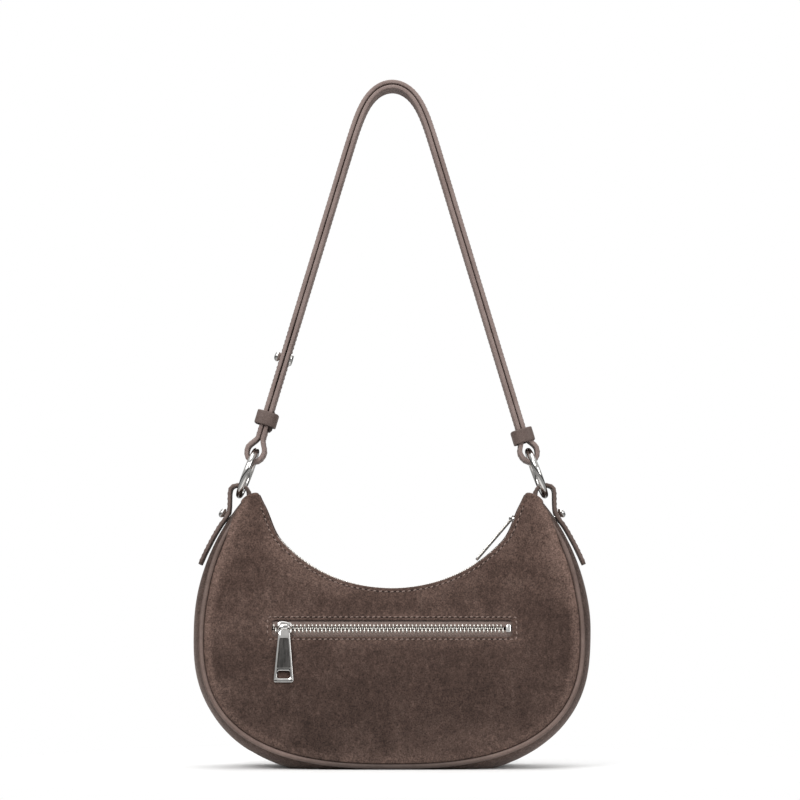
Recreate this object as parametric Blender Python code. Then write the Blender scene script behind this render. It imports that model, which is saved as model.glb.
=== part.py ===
"""Crescent shoulder bag with a doubled strap on two rings and a straight zip pocket.

Metres, +Z up. The bag stands on the flat of its gusset, with the origin under its centre.
The zip pocket is in the panel that faces -Y. Left is -X and right is +X.
"""

import math

import bmesh
import bpy
from mathutils import Matrix, Vector

# Bag body, seen from the pocket side
body_width = 0.250
widest_height = 0.084
lower_reach = 0.092
upper_reach = 0.127
lower_roundness = 2.5
mouth_radius = 0.096
mouth_centre_height = 0.208
tip_width = 0.009

# Depth of the body from front to back
bottom_half_depth = 0.034
tip_half_depth = 0.012
taper_height = 0.150

# Leather and lining thicknesses, and the gap that two touching pieces keep
panel_thickness = 0.0016
gusset_thickness = 0.0016
lining_thickness = 0.0008
touch_gap = 0.0003
sewn_gap = 0.0005
cut_overrun = 0.002

# Gusset and the piping in its two seams
seam_inset = 0.0062
seam_bottom_extra = 0.0036
seam_bottom_power = 3.5
tip_seam_inset = 0.003
seam_ease_share = 0.12
crown_power = 4
tip_corner = 0.0026
ear_height = 0.0042
ear_start_share = 0.70
ear_full_share = 0.93
piping_radius = 0.0014

# Lining, and the stiff board under it
lining_end_inset = 0.0032
lining_floor_height = 0.0039
lining_bulge = 0.0045
lining_end_share = 0.07
board_length = 0.070
board_depth = 0.032
board_thickness = 0.0014

# Rings in the tabs at the two tips
ring_radius = 0.015
ring_wire_radius = 0.0020
ring_inset = 0.00436
ring_rise = 0.01902
ring_lean = math.radians(20.5)

# Leather tabs that hold the rings
tab_width = 0.016
tab_thickness = 0.0022
tab_ring_clearance = 0.00109
tab_inner_reach = 0.006
tab_tail_length = 0.046
tab_tail_gap = 0.0009
tab_tail_lift = 0.0012
tab_arch_degrees = (0, 45, 90, 135, 170)
tab_tail_shares = (0.20, 0.40, 0.60, 0.80, 1.00)

# Button studs, shared by the tabs and the strap
stud_button_radius = 0.0032
stud_button_height = 0.0040
stud_post_radius = 0.0013
stud_hole_gap = 0.0004
stud_button_degrees = (35, 60, 90, 120, 145, 172)
tab_stud_distance = 0.0115
tab_stud_lift = 0.0006

# Doubled strap
strap_width = 0.017
strap_thickness = 0.0024
strap_layer_gap = 0.0008
strap_crown_height = 0.4336
strap_crown_half_width = 0.0155
strap_crown_power = 4.3
strap_crown_reach_share = 2.0
strap_loop_inner_width = 0.0084
strap_loop_clearance = 0.0013
strap_neck = 0.0084
loop_height_shares = (0.75, 0.50, 0.25)
loop_width_shares = (0.22, 0.56, 0.86)
loop_turn_degrees = (0, 25, 50, 72, 90)
strap_stud_distance = 0.0618
stud_head_radius = 0.0040
stud_head_thickness = 0.0016
stud_slot_width = 0.0008
stud_slot_depth = 0.0007

# Loose keepers on the strap
keeper_height = 0.0087
keeper_play = 0.0024
keeper_side_gap = 0.00035
keeper_wall = 0.0016
keeper_corner = 0.0022
left_keeper_distance = 0.0214
right_keeper_distance = 0.0100

# Zip chains, the same size in the mouth and in the pocket
tape_thickness = 0.0008
chain_half_width = 0.0026
chain_thickness = 0.0020
tooth_pitch = 0.0024
tooth_tip_width = 0.0008
tooth_flank = 0.00015
tooth_reach = 0.0007
tooth_root = 0.00105

# Zip in the mouth
mouth_chain_recess = 0.0004
mouth_tape_recess = 0.0016
zip_end_inset = 0.00424
zip_end_length = 0.00506
zip_end_thickness = 0.0016
mouth_slider_inset = 0.00838

# Straight zip pocket
pocket_height = 0.0865
pocket_window_half_length = 0.0747
pocket_window_half_height = 0.0051
pocket_window_corner = 0.0012
pocket_chain_recess = 0.0004
pocket_tape_end_margin = 0.0018
pocket_tape_sewn_width = 0.0034
pocket_chain_end_gap = 0.0005
pocket_stop_end_gap = 0.0004
pocket_stop_length = 0.0034
pocket_stop_half_height = 0.0026
pocket_stop_rise = 0.0004
pocket_slider_inset = 0.0077

# Pouch behind the zip pocket
pouch_half_width = 0.068
pouch_floor_height = 0.0345
pouch_rise = 0.0065
pouch_clear_rise = 0.011
pouch_fade = 0.010
pouch_space = 0.0054
pouch_wall = 0.0006
pouch_slot_end_margin = 0.006
pouch_slot_half_height = 0.0024

# Slider, the same in both zips
slider_length = 0.0092
slider_flange_wall = 0.00145
slider_plate = 0.0013
slider_chain_gap = 0.00045
slider_flange_gap = 0.00035
slider_flange_drop = 0.0007
lug_thickness = 0.0011
lug_length = 0.0030
pin_radius = 0.0008
pin_rise = 0.0024

# Puller, the same on both sliders
puller_length = 0.0346
puller_top_width = 0.0075
puller_end_width = 0.0126
puller_thickness = 0.0018
puller_eye_radius = 0.0020
puller_pin_gap = 0.00035
puller_eye_width = 0.0044
puller_eye_gap = 0.0003
puller_border = 0.0011
puller_recess = 0.0005
puller_recess_start = 0.0072
puller_window_start = 0.0272
puller_window_length = 0.0048
puller_rest_gap = 0.0004

# Fineness of the curved surfaces
outline_stations = 48
panel_rows = 5
gusset_columns = 8
lining_rows = 8
lining_step = 2
lining_floor_columns = 4
piping_sides = 6
mouth_stations = 32
ring_stations = 28
ring_sides = 8
tab_stations = 26
strap_leg_stations = 10
strap_crown_stations = 24
round_sides = 16
curve_samples = 400
corner_steps = 4
weld_distance = 0.000001
smooth_angle = math.radians(35)

# Colours, roughness and metal of the materials
suede_colour = (0.085, 0.055, 0.043)
leather_colour = (0.115, 0.078, 0.064)
thread_tape_colour = (0.135, 0.095, 0.080)
lining_colour = (0.060, 0.045, 0.038)
board_colour = (0.120, 0.105, 0.090)
chrome_colour = (0.780, 0.770, 0.740)
suede_roughness = 0.95
leather_roughness = 0.55
fabric_roughness = 0.85
board_roughness = 0.80
chrome_roughness = 0.15

# Places worked out from the sizes above
pocket_chain_left_end = pocket_window_half_length - pocket_chain_end_gap
pocket_chain_right_end = pocket_window_half_length - pocket_stop_end_gap - pocket_stop_length - touch_gap
pocket_slider_x = pocket_slider_inset - pocket_window_half_length
pouch_drop = pocket_height - pouch_floor_height
stud_hole_radius = stud_post_radius + stud_hole_gap

x_axis = Vector((1, 0, 0))
y_axis = Vector((0, 1, 0))
z_axis = Vector((0, 0, 1))
left = -1
right = 1
pocket_side = -1
plain_side = 1


def clear_scene():
    for item in list(bpy.data.objects):
        bpy.data.objects.remove(item)


def make_material(name, colour, roughness, metallic):
    material = bpy.data.materials.new(name)
    material.use_nodes = True
    shader = material.node_tree.nodes["Principled BSDF"]
    shader.inputs["Base Color"].default_value = (*colour, 1)
    shader.inputs["Roughness"].default_value = roughness
    shader.inputs["Metallic"].default_value = metallic
    return material


def suede(name):
    return make_material(name, suede_colour, suede_roughness, 0)


def leather(name):
    return make_material(name, leather_colour, leather_roughness, 0)


def fabric(name, colour):
    return make_material(name, colour, fabric_roughness, 0)


def chrome(name):
    return make_material(name, chrome_colour, chrome_roughness, 1)


def add_object(name, mesh_data, material, pivot=None):
    """Put finished geometry in the scene, with its origin on its pivot if it has one."""
    mesh = bpy.data.meshes.new(name)
    bmesh.ops.remove_doubles(mesh_data, verts=mesh_data.verts, dist=weld_distance)
    bmesh.ops.recalc_face_normals(mesh_data, faces=mesh_data.faces)
    mesh_data.to_mesh(mesh)
    mesh_data.free()
    item = bpy.data.objects.new(name, mesh)
    bpy.context.scene.collection.objects.link(item)
    if pivot is not None:
        mesh.transform(Matrix.Translation(-pivot))
        item.location = pivot
    mesh.materials.append(material)
    mesh.shade_smooth()
    mesh.set_sharp_from_angle(angle=smooth_angle)
    return item


def loft(sections, closed=False):
    """Skin a row of equal outlines into one closed solid."""
    data = bmesh.new()
    rings = [[data.verts.new(point) for point in section] for section in sections]
    count = len(rings[0])
    pairs = list(zip(rings, rings[1:]))
    if closed:
        pairs.append((rings[-1], rings[0]))
    for first, second in pairs:
        for index in range(count):
            after = (index + 1) % count
            data.faces.new((first[index], first[after], second[after], second[index]))
    if not closed:
        data.faces.new(list(reversed(rings[0])))
        data.faces.new(rings[-1])
    bmesh.ops.recalc_face_normals(data, faces=data.faces)
    return data


def prism(outline, low, high, place):
    """Extrude an outline of (a, b) points from low to high, set by place(a, b, n)."""
    bottom = [place(a, b, low) for a, b in outline]
    top = [place(a, b, high) for a, b in outline]
    return loft([bottom, top])


def box(low, high, place):
    outline = [(low[0], low[1]), (high[0], low[1]), (high[0], high[1]), (low[0], high[1])]
    return prism(outline, low[2], high[2], place)


def turned(profile, base, axis, sides):
    """Turn a profile of (radius, height) points about an axis through base."""
    axis = axis.normalized()
    across = axis.orthogonal().normalized()
    beside = axis.cross(across)
    sections = []
    for radius, height in profile:
        section = []
        for step in range(sides):
            angle = 2 * math.pi * step / sides
            spoke = across * math.cos(angle) + beside * math.sin(angle)
            section.append(base + axis * height + spoke * radius)
        sections.append(section)
    return loft(sections)


def boolean(target, tool, operation):
    """Cut or join two closed solids held as bmesh data, and return the result."""
    objects = []
    for data in (target, tool):
        mesh = bpy.data.meshes.new("shape")
        data.to_mesh(mesh)
        data.free()
        item = bpy.data.objects.new("shape", mesh)
        bpy.context.scene.collection.objects.link(item)
        objects.append(item)
    modifier = objects[0].modifiers.new("shape", "BOOLEAN")
    modifier.operation = operation
    modifier.solver = "EXACT"
    modifier.object = objects[1]
    bpy.context.view_layer.update()
    result = bmesh.new()
    result.from_object(objects[0], bpy.context.evaluated_depsgraph_get())
    for item in objects:
        bpy.data.objects.remove(item)
    return result


def cut(target, tool):
    return boolean(target, tool, "DIFFERENCE")


def join(target, tool):
    return boolean(target, tool, "UNION")


def resample(points, count):
    """Even points along a row of vectors, ends kept."""
    lengths = [0.0]
    for first, second in zip(points, points[1:]):
        lengths.append(lengths[-1] + (second - first).length)
    result = []
    segment = 0
    for step in range(count + 1):
        wanted = lengths[-1] * step / count
        while segment < len(points) - 2 and lengths[segment + 1] < wanted:
            segment += 1
        span = lengths[segment + 1] - lengths[segment]
        share = (wanted - lengths[segment]) / span
        result.append(points[segment].lerp(points[segment + 1], min(max(share, 0), 1)))
    return result


def smooth_curve(points, steps):
    """Curve through all the points, ends included."""
    ends = [points[0] * 2 - points[1], *points, points[-1] * 2 - points[-2]]
    result = []
    for before, start, end, after in zip(ends, ends[1:], ends[2:], ends[3:]):
        for step in range(steps):
            t = step / steps
            result.append(0.5 * (2 * start + (end - before) * t
                                 + (2 * before - 5 * start + 4 * end - after) * t * t
                                 + (3 * start - before - 3 * end + after) * t ** 3))
    result.append(points[-1].copy())
    return result


def flat_normals(points, closed=False):
    """Normals of a curve in the XZ plane, to the left of its direction of travel."""
    normals = []
    count = len(points)
    for index in range(count):
        before = points[index - 1] if closed or index > 0 else points[index]
        after = points[(index + 1) % count] if closed or index < count - 1 else points[index]
        along = (after - before).normalized()
        normals.append(along.cross(y_axis).normalized())
    return normals


def half_depth(height):
    """Half of the body's depth at a height, from the floor up to the tips."""
    share = min(max(height / taper_height, 0), 1)
    ease = math.cos(share * math.pi / 2) ** 2
    return tip_half_depth + (bottom_half_depth - tip_half_depth) * ease


def half_depth_slope(height):
    share = min(max(height / taper_height, 0), 1)
    return -(bottom_half_depth - tip_half_depth) * math.pi * math.sin(share * math.pi) / (2 * taper_height)


def mouth_point(angle, radius):
    """Point on a circle about the mouth's centre; angle 0 is straight below it."""
    return Vector((radius * math.sin(angle), 0, mouth_centre_height - radius * math.cos(angle)))


def tip_parameter():
    """Where the upper curve of the side reaches the tip."""
    low, high = 0, math.pi / 2
    for _ in range(curve_samples):
        middle = (low + high) / 2
        point = Vector((body_width / 2 * math.cos(middle), 0, upper_reach * math.sin(middle)))
        point.z += widest_height - mouth_centre_height
        if point.length > mouth_radius + tip_width:
            low = middle
        else:
            high = middle
    return low


def body_outline():
    """Silhouette from the left tip, round under the body, to the right tip.

    It dips below the floor, on which the gusset is flattened.
    """
    half = []
    for step in range(curve_samples + 1):
        turn = math.pi / 2 * step / curve_samples
        x = body_width / 2 * math.sin(turn) ** (2 / lower_roundness)
        z = widest_height - lower_reach * math.cos(turn) ** (2 / lower_roundness)
        half.append(Vector((x, 0, z)))
    end = tip_parameter()
    for step in range(1, curve_samples + 1):
        turn = end * step / curve_samples
        x = body_width / 2 * math.cos(turn)
        half.append(Vector((x, 0, widest_height + upper_reach * math.sin(turn))))
    mirrored = [Vector((-point.x, 0, point.z)) for point in reversed(half[1:])]
    return resample(mirrored + half, outline_stations)


outline = body_outline()
outline_normals = [-normal for normal in flat_normals(outline)]
if outline_normals[outline_stations // 2].z > 0:
    outline_normals = [-normal for normal in outline_normals]


def inset_at(index):
    """How far the seam lies inside the silhouette: more under the body, less near the tips."""
    share = index / outline_stations
    ease = min(share, 1 - share) / seam_ease_share
    ease = min(ease, 1)
    low = max(widest_height - outline[index].z, 0) / lower_reach
    wanted = seam_inset + seam_bottom_extra * low ** seam_bottom_power
    return tip_seam_inset + (wanted - tip_seam_inset) * ease


seam = [point - normal * inset_at(index)
        for index, (point, normal) in enumerate(zip(outline, outline_normals))]
tip_angle = math.atan2(outline[-1].x, mouth_centre_height - outline[-1].z)
zip_end_angle = tip_angle - zip_end_inset / mouth_radius
mouth_zip_angle = zip_end_angle - zip_end_length / mouth_radius
mouth_slider_angle = mouth_zip_angle - mouth_slider_inset / mouth_radius
ring_centre_x = outline[-1].x - ring_inset
ring_centre_height = outline[-1].z + ring_rise
strap_neck_x = ring_centre_x - (ring_radius + strap_neck) * math.sin(ring_lean)
strap_neck_height = ring_centre_height + (ring_radius + strap_neck) * math.cos(ring_lean)
strap_lean = math.atan((strap_neck_x - strap_crown_half_width) / (strap_crown_height - strap_neck_height))
mouth = [mouth_point(tip_angle * (2 * index / outline_stations - 1), mouth_radius)
         for index in range(outline_stations + 1)]


def build_gusset():
    sections = []
    for index, (point, normal) in enumerate(zip(outline, outline_normals)):
        reach = half_depth(seam[index].z) - panel_thickness - sewn_gap
        outside = []
        inside = []
        for column in range(gusset_columns + 1):
            share = 2 * column / gusset_columns - 1
            drop = inset_at(index) * abs(share) ** crown_power
            outer = point - normal * drop + y_axis * reach * share
            inner = outer - normal * gusset_thickness
            outer.z = max(outer.z, 0)
            inner.z = max(inner.z, gusset_thickness)
            outside.append(outer)
            inside.append(inner)
        sections.append(outside + list(reversed(inside)))
    add_object("gusset", loft(sections), leather("gusset_leather"))


def panel_surface(point, side, depth):
    """A panel's point, at a depth below its outer face."""
    slope = half_depth_slope(point.z)
    inward = Vector((0, 1, slope)).normalized()
    inward.y = -side * inward.y
    return Vector((point.x, side * half_depth(point.z), point.z)) + inward * depth


def ear_rise(index):
    """How far a panel stands up above the mouth's circle beside the tips."""
    share = abs(2 * index / outline_stations - 1)
    rise = (share - ear_start_share) / (ear_full_share - ear_start_share)
    rise = min(max(rise, 0), 1)
    return ear_height * rise * rise * (3 - 2 * rise)


def panel_data(side):
    columns = []
    for index in range(outline_stations + 1):
        centre = mouth_point(0, 0)
        top = mouth[index] + (centre - mouth[index]).normalized() * ear_rise(index)
        bottom = seam[index] - outline_normals[index] * (piping_radius + touch_gap)
        if index in (0, outline_stations):
            top = top + (bottom - top).normalized() * tip_corner
        rows = [top.lerp(bottom, row / panel_rows) for row in range(panel_rows + 1)]
        outside = [panel_surface(point, side, 0) for point in rows]
        inside = [panel_surface(point, side, panel_thickness) for point in rows]
        columns.append(outside + list(reversed(inside)))
    return loft(columns)


def pocket_place(a, b, n):
    """Pocket coordinates: a along the zip, b up the panel, n out of it."""
    slope = half_depth_slope(pocket_height)
    up = Vector((0, -slope, 1)).normalized()
    out = Vector((0, -1, -slope)).normalized()
    base = Vector((0, -half_depth(pocket_height), pocket_height))
    return base + x_axis * a + up * b + out * n


def rounded_rectangle(half_a, half_b, corner):
    points = []
    for quarter in range(4):
        centre_a = (half_a - corner) * (1 if quarter in (0, 3) else -1)
        centre_b = (half_b - corner) * (1 if quarter in (0, 1) else -1)
        for step in range(corner_steps + 1):
            turn = math.pi / 2 * (quarter + step / corner_steps)
            points.append((centre_a + corner * math.cos(turn), centre_b + corner * math.sin(turn)))
    return points


def build_panels():
    window = rounded_rectangle(pocket_window_half_length, pocket_window_half_height, pocket_window_corner)
    tool = prism(window, -cut_overrun - panel_thickness, cut_overrun, pocket_place)
    add_object("pocket_panel", cut(panel_data(pocket_side), tool), suede("pocket_panel_suede"))
    add_object("plain_panel", panel_data(plain_side), suede("plain_panel_suede"))


def build_piping(name, side):
    normals = flat_normals(seam)
    sections = []
    for point, normal in zip(seam, normals):
        centre = Vector((point.x, side * half_depth(point.z), point.z))
        section = []
        for step in range(piping_sides):
            turn = 2 * math.pi * step / piping_sides
            section.append(centre + (normal * math.cos(turn) + y_axis * math.sin(turn)) * piping_radius)
        sections.append(section)
    add_object(name, loft(sections), leather(name + "_leather"))


def pocket_room(height):
    """Depth that the pocket's pouch takes from the lining at a height."""
    pouch_depth = pouch_space + 2 * pouch_wall + tape_thickness + touch_gap + 2 * sewn_gap
    top = pocket_height + pouch_rise + pouch_clear_rise
    share = min(max((top + pouch_fade - height) / pouch_fade, 0), 1)
    return pouch_depth * share


def build_lining():
    sections = []
    first = lining_step * round(outline_stations * lining_end_share / lining_step)
    for index in range(first, outline_stations - first + 1, lining_step):
        top = mouth[index]
        bottom = seam[index]
        along = (bottom - top).normalized()
        mouth_drop = mouth_chain_recess + chain_thickness + sewn_gap
        start = top + along * mouth_drop / along.dot((top - mouth_point(0, 0)).normalized())
        end = bottom - along * (gusset_thickness + lining_end_inset)
        wall = panel_thickness + sewn_gap

        def profile(inset):
            last = end - along * inset
            rows = [start.lerp(last, row / lining_rows) for row in range(lining_rows + 1)]
            near = [Vector((p.x, -(half_depth(p.z) - wall - pocket_room(p.z) - inset), p.z)) for p in rows]
            far = [Vector((p.x, half_depth(p.z) - wall - inset, p.z)) for p in rows]
            floor = []
            for column in range(1, lining_floor_columns):
                share = column / lining_floor_columns
                bulge = lining_bulge * (1 - (2 * share - 1) ** crown_power)
                floor.append(near[-1].lerp(far[-1], share) + along * bulge)
            whole = near + floor + list(reversed(far))
            return [Vector((p.x, p.y, max(p.z, lining_floor_height + inset))) for p in whole]

        sections.append(profile(0) + list(reversed(profile(lining_thickness))))
    add_object("lining", loft(sections), fabric("lining_cloth", lining_colour))


def build_board():
    bottom = gusset_thickness + touch_gap
    low = (-board_length / 2, -board_depth / 2, bottom)
    high = (board_length / 2, board_depth / 2, bottom + board_thickness)
    data = box(low, high, lambda a, b, n: Vector((a, b, n)))
    add_object("base_board", data, make_material("board_fibre", board_colour, board_roughness, 0))


def mouth_band(y_low, y_high, radius_low, radius_high, angle):
    """Strip along the mouth between two radii; its edges in y may follow the angle."""
    sections = []
    for step in range(mouth_stations + 1):
        turn = angle * (2 * step / mouth_stations - 1)
        low = y_low(turn)
        high = y_high(turn)
        inner = mouth_point(turn, radius_low)
        outer = mouth_point(turn, radius_high)
        sections.append([inner + y_axis * low, inner + y_axis * high,
                         outer + y_axis * high, outer + y_axis * low])
    return loft(sections)


def mouth_inner_face(turn):
    """Y of a panel's inner face, less a sewn gap, beside the zip in the mouth."""
    height = mouth_point(turn, mouth_radius).z
    return half_depth(height + mouth_tape_recess) - panel_thickness - sewn_gap


def build_mouth_zip():
    tape_low = mouth_radius + mouth_tape_recess
    chain_low = mouth_radius + mouth_chain_recess
    for side, word in ((pocket_side, "pocket_side"), (plain_side, "plain_side")):
        edge = side * (chain_half_width + touch_gap)
        tape = mouth_band(lambda turn: edge, lambda turn: side * mouth_inner_face(turn),
                          tape_low, tape_low + tape_thickness, mouth_zip_angle)
        add_object("mouth_tape_" + word, tape, fabric("mouth_tape_" + word, thread_tape_colour))
        near = side * touch_gap / 2
        chain = mouth_band(lambda turn: near, lambda turn: side * chain_half_width,
                           chain_low, chain_low + chain_thickness, mouth_zip_angle)
        add_object("mouth_teeth_" + word, chain, chrome("mouth_teeth_" + word))


def build_zip_ends():
    """Leather pieces that close the mouth between the zip and the tips."""
    start = mouth_zip_angle + touch_gap / mouth_radius
    for side, word in ((left, "left"), (right, "right")):
        sections = []
        for step in range(corner_steps + 1):
            turn = side * (start + (zip_end_angle - start) * step / corner_steps)
            reach = mouth_inner_face(abs(turn))
            inner = mouth_point(turn, mouth_radius + mouth_chain_recess)
            outer = mouth_point(turn, mouth_radius + mouth_chain_recess + zip_end_thickness)
            sections.append([inner - y_axis * reach, inner + y_axis * reach,
                             outer + y_axis * reach, outer - y_axis * reach])
        add_object(word + "_zip_end", loft(sections), leather(word + "_zip_end_leather"))


def comb(side, start, end, offset):
    """Outline of one row of teeth: a strip with teeth that reach past the middle."""
    points = [(start, side * chain_half_width), (start, side * tooth_root)]
    count = int((end - start - offset - tooth_pitch / 2) / tooth_pitch)
    for index in range(count):
        base = start + offset + index * tooth_pitch
        points.append((base, side * tooth_root))
        points.append((base + tooth_flank, -side * tooth_reach))
        points.append((base + tooth_flank + tooth_tip_width, -side * tooth_reach))
        points.append((base + 2 * tooth_flank + tooth_tip_width, side * tooth_root))
    points.append((end, side * tooth_root))
    points.append((end, side * chain_half_width))
    return points


def build_pocket_zip():
    tape_high = -panel_thickness - touch_gap
    tape_low = tape_high - tape_thickness
    chain_high = -pocket_chain_recess
    chain_low = chain_high - chain_thickness
    start = -pocket_chain_left_end
    end = pocket_chain_right_end
    half_length = pocket_window_half_length + pocket_tape_end_margin
    half_height = pocket_window_half_height + pocket_tape_sewn_width
    for side, word in ((1, "upper"), (-1, "lower")):
        edges = sorted((side * (chain_half_width + touch_gap), side * half_height))
        low = (-half_length, edges[0], tape_low)
        high = (half_length, edges[1], tape_high)
        tape = box(low, high, pocket_place)
        add_object("pocket_tape_" + word, tape, fabric("pocket_tape_" + word, thread_tape_colour))
        offset = tooth_pitch / 2 if side > 0 else tooth_pitch
        row = prism(comb(side, start, end, offset), chain_low, chain_high, pocket_place)
        add_object("pocket_teeth_" + word, row, chrome("pocket_teeth_" + word))
    stop_start = end + touch_gap
    stop = box((stop_start, -pocket_stop_half_height, chain_low),
               (stop_start + pocket_stop_length, pocket_stop_half_height, pocket_stop_rise), pocket_place)
    add_object("pocket_zip_stop", stop, chrome("pocket_zip_stop"))


def build_pouch():
    """Flat cloth pouch behind the pocket's zip, open towards the zip."""
    front = -panel_thickness - touch_gap - tape_thickness - sewn_gap
    back = front - 2 * pouch_wall - pouch_space
    low = (-pouch_half_width, -pouch_drop, back)
    high = (pouch_half_width, pouch_rise, front)
    shell = box(low, high, pocket_place)
    space = box((low[0] + pouch_wall, low[1] + pouch_wall, back + pouch_wall),
                (high[0] - pouch_wall, high[1] - pouch_wall, front - pouch_wall), pocket_place)
    slot_end = pouch_half_width - pouch_slot_end_margin
    slot = box((-slot_end, -pouch_slot_half_height, front - pouch_wall - pouch_space / 2),
               (slot_end, pouch_slot_half_height, front + cut_overrun), pocket_place)
    add_object("pocket_pouch", cut(shell, join(space, slot)), fabric("pouch_cloth", lining_colour))


def slider_data(place, pin_along_zip, chain_top):
    """Slider that rides on a chain; place(a, b, n) has a along the zip and n out of it."""
    under = chain_top + slider_chain_gap
    top = under + slider_plate
    inner = chain_half_width + slider_flange_gap
    outer = inner + slider_flange_wall
    foot = chain_top - slider_flange_drop
    profile = [(-outer, foot), (-inner, foot), (-inner, under), (inner, under),
               (inner, foot), (outer, foot), (outer, top), (-outer, top)]
    ends = []
    for along in (-slider_length / 2, slider_length / 2):
        ends.append([place(along, b, n) for b, n in profile])
    data = loft(ends)
    pin = top + pin_rise
    reach = puller_eye_width / 2 + puller_eye_gap
    for side in (left, right):
        edges = sorted((side * reach, side * (reach + lug_thickness)))
        low_n = top - slider_plate / 2
        high_n = pin + pin_radius * 2
        if pin_along_zip:
            low = (edges[0], -lug_length / 2, low_n)
            high = (edges[1], lug_length / 2, high_n)
        else:
            low = (-lug_length / 2, edges[0], low_n)
            high = (lug_length / 2, edges[1], high_n)
        data = join(data, box(low, high, place))
    base = place(0, 0, pin)
    ahead = place(slider_length, 0, pin) - base
    if not pin_along_zip:
        ahead = place(0, slider_length, pin) - base
    half = reach + lug_thickness / 2
    rod = turned([(pin_radius, -half), (pin_radius, half)], base, ahead, round_sides)
    return join(data, rod), base


def puller_data(base, along_pin, away, face):
    """Puller with its eye on a pin through base; away is its length, face its thickness."""
    along_pin = along_pin.normalized()
    away = away.normalized()
    face = face.normalized()

    def place(width, length, depth):
        return base + along_pin * width + away * length + face * depth

    half = puller_thickness / 2
    top = puller_top_width / 2
    end = puller_end_width / 2
    start = puller_eye_radius / 2
    shoulder = puller_eye_radius + puller_eye_gap * 2
    slope = (end - top) / (puller_length - shoulder)
    neck = puller_eye_width / 2
    plate = [(-neck, start), (neck, start), (neck, shoulder), (top, shoulder + puller_border),
             (end, puller_length), (-end, puller_length), (-top, shoulder + puller_border),
             (-neck, shoulder)]
    data = prism(plate, -half, half, place)
    eye = turned([(puller_eye_radius, -neck), (puller_eye_radius, neck)], base, along_pin, round_sides)
    data = join(data, eye)
    reach = neck + cut_overrun
    bore = pin_radius + puller_pin_gap
    hole = turned([(bore, -reach), (bore, reach)], base, along_pin, round_sides)
    data = cut(data, hole)
    first = puller_recess_start
    last = puller_window_start - puller_border
    wide_first = top + slope * (first - shoulder) - puller_border
    wide_last = top + slope * (last - shoulder) - puller_border
    sunk = [(-wide_first, first), (wide_first, first), (wide_last, last), (-wide_last, last)]
    data = cut(data, prism(sunk, half - puller_recess, half + cut_overrun, place))
    first = puller_window_start
    last = first + puller_window_length
    wide_first = top + slope * (first - shoulder) - 2 * puller_border
    wide_last = top + slope * (last - shoulder) - 2 * puller_border
    hole = [(-wide_first, first), (wide_first, first), (wide_last, last), (-wide_last, last)]
    return cut(data, prism(hole, -half - cut_overrun, half + cut_overrun, place))


def build_pocket_slider():
    def place(a, b, n):
        return pocket_place(pocket_slider_x + a, b, n)

    data, base = slider_data(place, True, -pocket_chain_recess)
    add_object("pocket_slider", data, chrome("pocket_slider"), pocket_place(pocket_slider_x, 0, 0))
    up = pocket_place(0, 1, 0) - pocket_place(0, 0, 0)
    out = pocket_place(0, 0, 1) - pocket_place(0, 0, 0)
    pin_height = slider_chain_gap - pocket_chain_recess + slider_plate + pin_rise
    fall = math.asin((pin_height - puller_thickness / 2 - puller_rest_gap) / puller_length)
    away = -up * math.cos(fall) - out * math.sin(fall)
    face = out * math.cos(fall) - up * math.sin(fall)
    puller = puller_data(base, x_axis, away, face)
    add_object("pocket_puller", puller, chrome("pocket_puller"), base)
    print("pocket pin", tuple(round(value, 6) for value in base))


def build_mouth_slider():
    out = (mouth_point(0, 0) - mouth_point(mouth_slider_angle, mouth_radius)).normalized()
    origin = mouth_point(mouth_slider_angle, mouth_radius)
    along = y_axis.cross(out)
    if along.x > 0:
        along = -along

    def place(a, b, n):
        return origin + along * a + y_axis * b + out * n

    data, base = slider_data(place, False, -mouth_chain_recess)
    add_object("mouth_slider", data, chrome("mouth_slider"), mouth_point(0, 0))
    pin_height = slider_chain_gap - mouth_chain_recess + slider_plate + pin_rise
    rest = puller_length ** 2 / (2 * mouth_radius) + puller_thickness / 2 + puller_rest_gap
    rise = math.asin((rest - pin_height) / puller_length)
    away = along * math.cos(rise) + out * math.sin(rise)
    face = out * math.cos(rise) - along * math.sin(rise)
    puller = puller_data(base, y_axis, away, face)
    add_object("mouth_puller", puller, chrome("mouth_puller"), base)
    print("mouth pin", tuple(round(value, 6) for value in base))


def ring_frame(side):
    """Ring centre, the way up along the ring, and the way outwards across it."""
    centre = Vector((side * ring_centre_x, 0, ring_centre_height))
    up = Vector((-side * math.sin(ring_lean), 0, math.cos(ring_lean)))
    outward = Vector((side * math.cos(ring_lean), 0, math.sin(ring_lean)))
    return centre, up, outward


def ring_dip(width):
    """How far a ring's wire falls below its top across a strip of leather of this width."""
    return ring_radius - math.sqrt(ring_radius ** 2 - (width / 2) ** 2)


def build_ring(name, side):
    centre, up, outward = ring_frame(side)
    sections = []
    for station in range(ring_stations):
        turn = 2 * math.pi * station / ring_stations
        spoke = up * math.cos(turn) + y_axis * math.sin(turn)
        section = []
        for step in range(ring_sides):
            angle = 2 * math.pi * step / ring_sides
            offset = spoke * math.cos(angle) + outward * math.sin(angle)
            section.append(centre + spoke * ring_radius + offset * ring_wire_radius)
        sections.append(section)
    add_object(name, loft(sections, closed=True), chrome(name + "_metal"), centre)


def strip_sections(points, width, thickness, closed=False):
    """Outlines of a flat strip whose middle line is in the XZ plane and whose width is along Y."""
    sections = []
    for point, normal in zip(points, flat_normals(points, closed)):
        side = y_axis * width / 2
        face = normal * thickness / 2
        sections.append([point - side - face, point + side - face, point + side + face, point - side + face])
    return sections


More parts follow.
